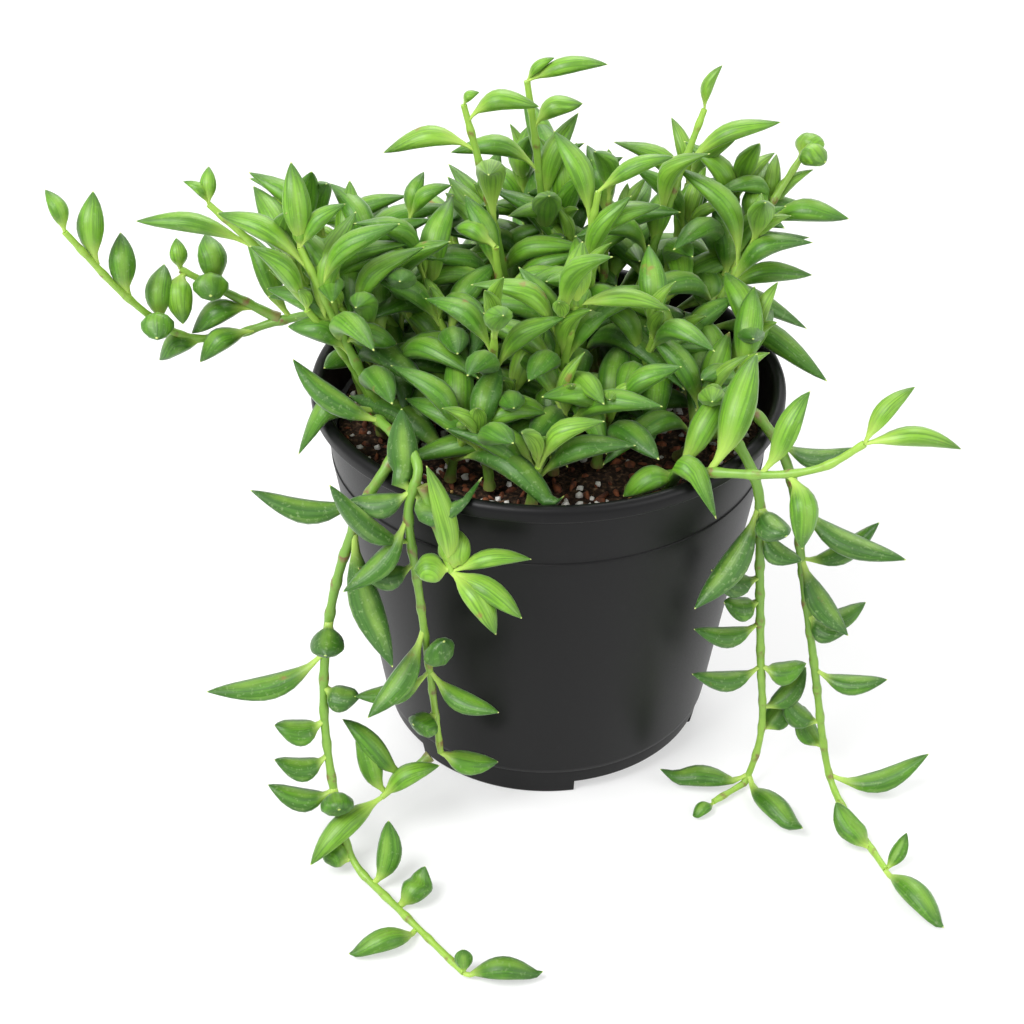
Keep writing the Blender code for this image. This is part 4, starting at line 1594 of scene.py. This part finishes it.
# Each marked leaf says its share along the shoot, heading, rise, length and, if unusual, breadth.
HANGING = {"bow": -0.15, "tones": (0.92, 0.6)}
SHOOTS = {
    "tall": Rule(
        Habit.STANDING, (AWAY, 26, 79, LEFT, 6, 2.0),
        ((0.7, LEFT, 15, 22), (0.85, RIGHT, 30, 13), (1.0, RIGHT, 15, 20, 0.85),
         (1.0, RIGHT, 45, 9, 0.6)),
        Winding(4, shares=(0.2, 0.55), tones=(0.7, 0.25))),
    "arching": Rule(
        Habit.STANDING, (120, 16, 78, LEFT, 13, 1.5),
        ((0.85, LEFT, 0, 22), (0.95, RIGHT, 15, 17), (1.0, RIGHT, 45, 5, 0.6)),
        Winding(4, shares=(0.2, 0.6), tones=(0.7, 0.25))),
    "middle": Rule(
        Habit.STANDING, (35, 8, 60, RIGHT, 5, 2.0),
        ((0.75, 15, 30, 20), (0.85, 135, 60, 24), (1.0, RIGHT, 30, 20, 0.85)),
        Winding(4, shares=(0.2, 0.6))),
    "right_upright": Rule(
        Habit.STANDING, (40, 22, 72, 30, 24, 1.2),
        ((0.5, 60, 60, 17), (0.8, RIGHT, 30, 26, 0.85), (1.0, RIGHT, 75, 12, 0.7)),
        Winding(4, shares=(0.2, 0.6), tones=(0.7, 0.25))),
    "right_back": Rule(
        Habit.STANDING, (25, 36, 54, 35, 38, 1.2),
        ((0.3, 105, 75, 13, 1.2), (0.4, RIGHT, 15, 24), (0.45, 120, 75, 20, 1.2),
         (0.5, 15, 30, 17, 1.2), (0.6, LEFT, 15, 8, 1.2), (0.65, 75, 60, 14), (0.7, -15, 15, 23, 1.1),
         (1.0, -45, 15, 8, 1.1), (1.0, 45, 30, 8, 1.1)),
        Winding(2, shares=(0.2, 0.5))),
    "left_upright": Rule(
        Habit.STANDING, (205, 38, 55, LEFT, 24, 0.8),
        ((0.2, 210, -15, 24), (0.5, LEFT, 30, 16, 1.2), (0.55, RIGHT, 0, 12, 1.1), (0.6, 165, 30, 20),
         (0.8, RIGHT, 45, 26), (0.9, 165, 30, 25), (1.0, 105, 75, 20), (1.0, 15, 45, 15, 0.9),
         (1.0, AWAY, 75, 7, 0.6)),
        Winding(2, shares=(0.3, 0.6), tones=(0.75, 0.4))),
    "left_arc": Rule(
        Habit.STANDING, (LEFT, 32, 58, LEFT, 50, 1.1),
        ((0.5, 135, 45, 15, 1.2), (0.55, 120, 60, 15, 1.2), (0.8, LEFT, 15, 29, 0.85),
         (1.0, 165, 45, 8, 0.6), (1.0, AWAY, 60, 9, 0.7)),
        Winding(4, shares=(0.2, 0.6), tones=(0.85, 0.3))),
    "rosette": Rule(
        Habit.STANDING, (TOWARD, 16, 44, -45, 9, 1.0),
        ((0.2, 165, 30, 24), (0.35, 15, 0, 18), (0.35, -105, 15, 9, 1.2), (0.45, -60, -15, 23),
         (0.5, 165, 30, 27), (0.6, 30, 45, 19), (0.65, 150, 60, 24), (0.9, 75, 60, 9, 1.1),
         (1.0, 75, 75, 15), (1.0, RIGHT, 0, 22, 0.85)),
        Winding(2, shares=(0.2, 0.6), tones=(0.7, 0.25))),
    "left_reach": Rule(
        Habit.REACHING, (145, 25, 14, 190, 98, -8, 13, 26),
        ((0.5, 210, -15, 16, 1.1), (0.6, 195, -15, 13, 1.1), (0.7, -90, 15, 9, 1.2),
         (0.7, AWAY, 60, 15), (0.8, 105, 75, 16), (0.9, AWAY, 75, 18), (1.0, 135, 60, 11, 0.8)),
        Winding(4, shares=(0.15, 0.42), tones=(0.95, 0.4))),
    "right_reach": Rule(
        Habit.REACHING, (-60, 40, 4, -20, 55, -5, 0, 11),
        ((0.1, -45, 0, 22), (0.25, 45, 45, 24), (0.25, 195, -15, 13, 1.1), (0.4, 60, 45, 30, 1.1),
         (0.6, 30, 60, 22), (0.7, -75, -45, 17), (1.0, 30, 45, 17, 0.8), (1.0, RIGHT, 0, 22, 0.85)),
        Winding(0, tones=(0.6, 0.2))),
    "front_hanging": Rule(
        Habit.TRAILING, (-165, 42, 5, -121, 4, 0, -6, 22, 0, 0),
        ((0.2, 165, 30, 25), (0.4, LEFT, -15, 15, 1.1), (0.4, 105, 60, 19, 1.1), (0.4, 15, 0, 16),
         (0.45, 210, -45, 23), (0.5, 195, 45, 26), (0.55, 195, 0, 13, 1.1), (0.7, 225, -45, 25),
         (0.75, -45, 45, 9, 1.2), (0.8, 195, -15, 19), (0.8, -30, -15, 20), (0.9, 225, 0, 7, 1.2),
         (1.0, RIGHT, -15, 15, 1.1)),
        Winding(0, **HANGING)),
    "long_trailer": Rule(
        Habit.TRAILING, (-140, 42, 2, -129, 4, -9, 22, 7, -50, 48),
        ((0.2, LEFT, 0, 27), (0.25, -60, -60, 34), (0.4, -90, -15, 11, 1.2), (0.45, 195, -15, 30),
         (0.5, -15, -15, 9, 1.2), (0.55, 195, 0, 12, 1.2), (0.6, 195, 0, 13, 1.1),
         (0.65, LEFT, 0, 16, 1.1), (0.65, -75, 0, 8, 1.2), (0.75, 150, 15, 8, 1.2), (0.8, 60, 60, 17),
         (0.85, 45, 30, 12, 1.1), (0.9, 210, 0, 18), (1.0, AWAY, 75, 7, 0.8), (1.0, RIGHT, 0, 19)),
        Winding(0, **HANGING)),
    "right_hanging": Rule(
        Habit.TRAILING, (-32, 38, 2, -39, 6, 0, 4, 18, -140, 16),
        ((0.3, 225, -45, 29), (0.3, -60, -15, 11, 1.2), (0.35, -30, -30, 12), (0.45, 195, 15, 13, 1.2),
         (0.5, 195, 0, 9, 1.1), (0.55, 195, 0, 17), (0.65, 195, 0, 18), (0.65, RIGHT, 0, 11, 1.1),
         (0.75, 30, 30, 15), (0.8, 45, 30, 11, 1.1), (0.9, LEFT, 0, 23), (0.9, -60, 0, 24),
         (1.0, 225, 0, 8, 0.7)),
        Winding(0, **HANGING)),
    "right_trailer": Rule(
        Habit.TRAILING, (-18, 38, 2, -27, 0, 0, 20, 8, -70, 35),
        ((0.2, -15, 0, 19), (0.3, -30, -15, 30), (0.4, RIGHT, 30, 21), (0.4, -45, -45, 22, 1.1),
         (0.5, 15, 0, 15), (0.5, -30, -15, 10, 1.1), (0.6, -15, 0, 18), (0.7, 165, 30, 12, 1.1),
         (0.75, 135, 45, 12), (0.8, RIGHT, 15, 26), (0.95, 135, 30, 14, 1.1), (1.0, 45, 45, 11, 0.7),
         (1.0, -60, 0, 23)),
        Winding(0, **HANGING)),
    "front_star": Rule(
        Habit.SIDE, (0.38, -45, 9, 20),
        ((0.9, 135, 75, 25, 0.85), (0.95, LEFT, 0, 8, 1.2), (0.95, 75, 60, 9, 1.1),
         (1.0, RIGHT, 15, 19, 0.8), (1.0, -30, -15, 20), (1.0, -45, -30, 18)),
        Winding(0, tones=(0.4, 0.2)), "front_hanging"),
    "centre_sprig": Rule(
        Habit.STANDING, (150, 12, 44, LEFT, 3, 1.5),
        ((0.35, 165, 15, 14), (0.7, RIGHT, 15, 20), (0.75, LEFT, 0, 24), (0.8, 135, 60, 22),
         (1.0, 150, 15, 12)),
        Winding(3, shares=(0.2, 0.5))),
    "left_sprig": Rule(
        Habit.STANDING, (165, 28, 47, 135, 11, 1.2),
        ((0.6, LEFT, 0, 9, 1.1), (0.75, LEFT, 15, 17, 0.9), (1.0, RIGHT, 45, 14, 0.9),
         (1.0, 60, 60, 12, 0.8)),
        Winding(3, shares=(0.2, 0.4))),
    "left_curl": Rule(
        Habit.SIDE, (0.42, LEFT, 24, -14),
        ((0.25, 195, -15, 17, 1.2), (0.6, 120, 60, 14, 1.1), (0.65, TOWARD, 15, 7, 1.3),
         (0.95, TOWARD, -45, 13), (1.0, 105, 75, 8, 0.8)),
        Winding(0, tones=(0.8, 0.4)), "left_reach"),
    "front_twig": Rule(
        Habit.SIDE, (1.0, 210, 14, 8),
        ((0.5, 165, 45, 22), (0.9, 135, 60, 20), (1.0, 225, -15, 25), (1.0, 15, 30, 17)),
        Winding(0, tones=(0.6, 0.4)), "front_hanging"),
}
# Foot's heading and distance, height gained, lean, leaf count, leaf length and first heading.
MOUND = {
    "left": (170, 45, 14, 210, 4, 18, 100),
    "back_left": (123, 40, 30, 120, 5, 24, 80),
    "back_right": (68, 43, 28, 60, 5, 24, 10),
    "front": (-112, 37, 18, -110, 4, 22, 20),
    "right": (RIGHT, 44, 20, RIGHT, 4, 24, 60),
    "front_right": (-63, 27, 20, -60, 4, 24, -60),
    "centre": (197, 21, 30, 170, 5, 24, 0),
}
CLUMPS = (
    Clump("crown", 8, AWAY, 4, 30, 34, AWAY, 8, Winding(6), fan=180),
    Clump("rear", 7, AWAY, 32, 18, 44, AWAY, 6, Winding(6, rises=(30, 70), lengths=(28, 22))),
    Clump("left_side", 8, 172, 34, 18, 38, LEFT, 26, Winding(6, rises=(5, 60))),
    Clump("right_side", 5, 30, 40, 14, 36, 25, 20, Winding(6)),
    Clump("fore", 5, -100, 28, 20, 16, TOWARD, 6, Winding(5, rises=(5, 30))),
    Clump("right_edge", 3, -12, 34, 14, 18, -20, 8, Winding(5, rises=(10, 40))),
)


@dataclass
class Plant:
    """All of the shoots: the marked ones, the mound's and the clumps between them. In mm."""

    grower: Grower
    mound_reach: float = 7.0
    mound_bend: float = 1.8
    mound_growth: float = 1.15

    def marked(self) -> list[Bunch]:
        """The shoots that stand out, each a bunch of its own.

        Returns:
            The bunches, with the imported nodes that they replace.
        """
        bunches = []
        for name, rule in SHOOTS.items():
            carrier = None
            if rule.carrier:
                parent = SHOOTS[rule.carrier]
                carrier = self.grower.route(parent.habit, parent.settings)
            route = self.grower.route(rule.habit, rule.settings, carrier)
            leaves = [self.marked_leaf(marks, rule, f"{name} {marks}") for marks in rule.leaves]
            leaves += rule.between.grow(name)
            shoot = Shoot(route, leaves)
            names = sorted(item.name for item in bpy.data.objects)
            stem = [item for item in names if item == f"stem_{name}"]
            own = [item for item in names if item.startswith(f"leaf_{name}_")]
            bunches.append(Bunch(name, [shoot], stem, own))
        return bunches

    def marked_leaf(self, marks: tuple, rule: Rule, seed: str) -> Leaf:
        """A leaf that stands out.

        Args:
            marks: Its share along the shoot, heading, rise, length and, if unusual, breadth.
            rule: The shoot's rule.
            seed: What its small differences are drawn from.

        Returns:
            The leaf.
        """
        share, heading, rise, length, slim = (*marks, 1.0)[:5]
        draw = random.Random(seed)
        first, last = rule.between.tones
        tone = first + (last - first) * share + draw.uniform(-0.12, 0.12)
        plump = 0.0 if slim < 1.0 else min(1.0, max(0.0, 1.6 - length / 12))
        bow = rule.between.bow * draw.uniform(0.7, 1.3) * min(1.0, 15 / length)
        return Leaf(share, heading, rise, length, plump, min(1.0, max(0.0, tone)), bow, slim)

    def mound(self) -> Bunch:
        """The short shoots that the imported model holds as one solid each.

        Returns:
            Their bunch.
        """
        shoots = []
        for name, (heading, distance, gain, lean, count, length, first) in MOUND.items():
            route = self.grower.standing(heading, distance, gain, lean, self.mound_reach, self.mound_bend)
            draw = random.Random(name)
            leaves = []
            for number in range(count):
                step = number / (count - 1)
                leaves.append(Leaf(
                    share=0.35 + 0.6 * step,
                    heading=first + GOLDEN_ANGLE * number,
                    rise=25 + 20 * step,
                    length=length * self.mound_growth * (1 - 0.25 * step),
                    tone=draw.uniform(0.3, 0.8),
                    bow=0.1,
                ))
            shoots.append(Shoot(route, self.grower.along_rim(route, leaves) + bud(route, name)))
        nodes = [f"shoot_{name}" for name in MOUND]
        return Bunch("mound", shoots, nodes, nodes)

    def build(self) -> None:
        """Grow and dress every bunch."""
        leaf_skin = SucculentLeafSkin().build()
        stem_skin = SucculentStemSkin().build()
        leaves, stems = leaf_tree(), stem_tree()
        bunches = self.marked() + [self.mound()]
        bunches += [Bunch(clump.name, clump.shoots(self.grower)) for clump in CLUMPS]
        for bunch in bunches:
            bunch.build_stems(self.grower, stems, stem_skin)
            bunch.build_leaves(self.grower, leaves, leaf_skin)


# ---------------------------------------------------------------------------------------------
# Studio


@dataclass
class Studio:
    """A pale table under soft light, and the camera. Lengths in m."""

    floor_radius: float = 3.0
    key_power: float = 14.0
    fill_power: float = 4.0
    back_power: float = 6.0
    world_strength: float = 0.6
    floor_glow: float = 0.5
    aim: tuple[float, float, float] = (0.0, 0.0, 0.09)
    lens: float = 70.31
    camera_place: tuple[float, float, float] = (0.0, -0.4326, 0.3684)
    camera_tilt: float = 54.6
    camera_turn: float = 1.21

    def white_where_seen(self, tree: Tree) -> Socket:
        """Tell the rays that see the background itself, through or by a gloss.

        Args:
            tree: The tree of a world or material.

        Returns:
            1 for these rays and 0 for the others.
        """
        rays = add_node(tree, "ShaderNodeLightPath").node.outputs
        seen = rays["Is Camera Ray"]
        for kind in ("Is Glossy Ray", "Is Transmission Ray"):
            seen = add_node(tree, MATH, {0: seen, 1: rays[kind]}, operation="MAXIMUM")
        return seen

    def build_world(self) -> None:
        """White to the eye, softer as a light."""
        world = bpy.data.worlds.new("studio")
        bpy.context.scene.world = world
        world.use_nodes = True
        tree = world.node_tree
        seen = {"Value": self.white_where_seen(tree), "To Min": self.world_strength, "To Max": 1.0}
        strength = add_node(tree, BAND, seen)
        fill(tree, tree.nodes["Background"], {"Color": linear("FFFFFF"), "Strength": strength})

    def build_floor(self) -> None:
        """A pale table that takes a soft shadow."""
        mesh = bpy.data.meshes.new("pale_table")
        form = bmesh.new()
        bmesh.ops.create_circle(form, cap_ends=True, radius=self.floor_radius, segments=96)
        form.to_mesh(mesh)
        form.free()
        finish, tree, shader = new_material("painted_board")
        fill(tree, shader, {"Base Color": linear("F7F7F7"), "Roughness": 0.9, "Specular IOR Level": 0.1})
        glow = add_node(tree, "ShaderNodeEmission", {"Color": linear("FFFFFF"), "Strength": 1.0})
        seen = add_node(tree, MATH, {0: self.white_where_seen(tree), 1: self.floor_glow}, **PRODUCT)
        mixed = add_node(tree, "ShaderNodeMixShader", {0: seen, 1: shader.outputs[0], 2: glow})
        fill(tree, tree.nodes["Material Output"], {"Surface": mixed})
        mesh.materials.append(finish)
        floor = new_object("pale_table", mesh)

    def light(self, name: str, place: tuple[float, float, float], size: float, power: float) -> None:
        """A square soft light that looks at the plant.

        Args:
            name: The light's name.
            place: Where it hangs.
            size: The length of its sides.
            power: Its power in W.
        """
        data = bpy.data.lights.new(name, "AREA")
        data.shape = "SQUARE"
        data.size = size
        data.energy = power
        made = bpy.data.objects.new(name, data)
        made.location = place
        aim = Vector(self.aim) - Vector(place)
        made.rotation_euler = aim.to_track_quat("-Z", "Y").to_euler()
        bpy.context.scene.collection.objects.link(made)

    def build(self) -> None:
        """World, floor, lights and camera."""
        self.build_world()
        self.build_floor()
        self.light("key", (-0.55, -0.45, 0.95), 0.6, self.key_power)
        self.light("fill", (0.75, -0.5, 0.6), 0.7, self.fill_power)
        self.light("back", (0.1, 0.7, 0.9), 0.6, self.back_power)
        data = bpy.data.cameras.new("camera")
        data.lens = self.lens
        data.sensor_width = 36.0
        camera = bpy.data.objects.new("camera", data)
        camera.location = self.camera_place
        camera.rotation_euler = (math.radians(self.camera_tilt), 0.0, math.radians(self.camera_turn))
        bpy.context.scene.collection.objects.link(camera)
        bpy.context.scene.camera = camera
        bpy.context.scene.view_settings.view_transform = "Standard"


def main() -> None:
    """Build the pot, the mix, the plant and the studio in order."""
    logging.basicConfig(level=logging.INFO, format="%(message)s")
    pot_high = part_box("pot")[1]
    soil_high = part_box("soil")[1]
    pot = NurseryPot(height=pot_high[2] / MM, rim_radius=pot_high[0] / MM)
    pot.build()
    soil_top = soil_high[2] / MM - SOIL_DOME
    mix = PottingMix(
        radius=soil_high[0] / MM,
        top=soil_top,
        bottom=pot.floor_height + pot.clearance,
        foot_radius=pot.floor_radius,
    )
    mix.build()
    Plant(Grower(pot=pot, soil_top=soil_top)).build()
    Studio().build()


if __name__ == "__main__":
    main()
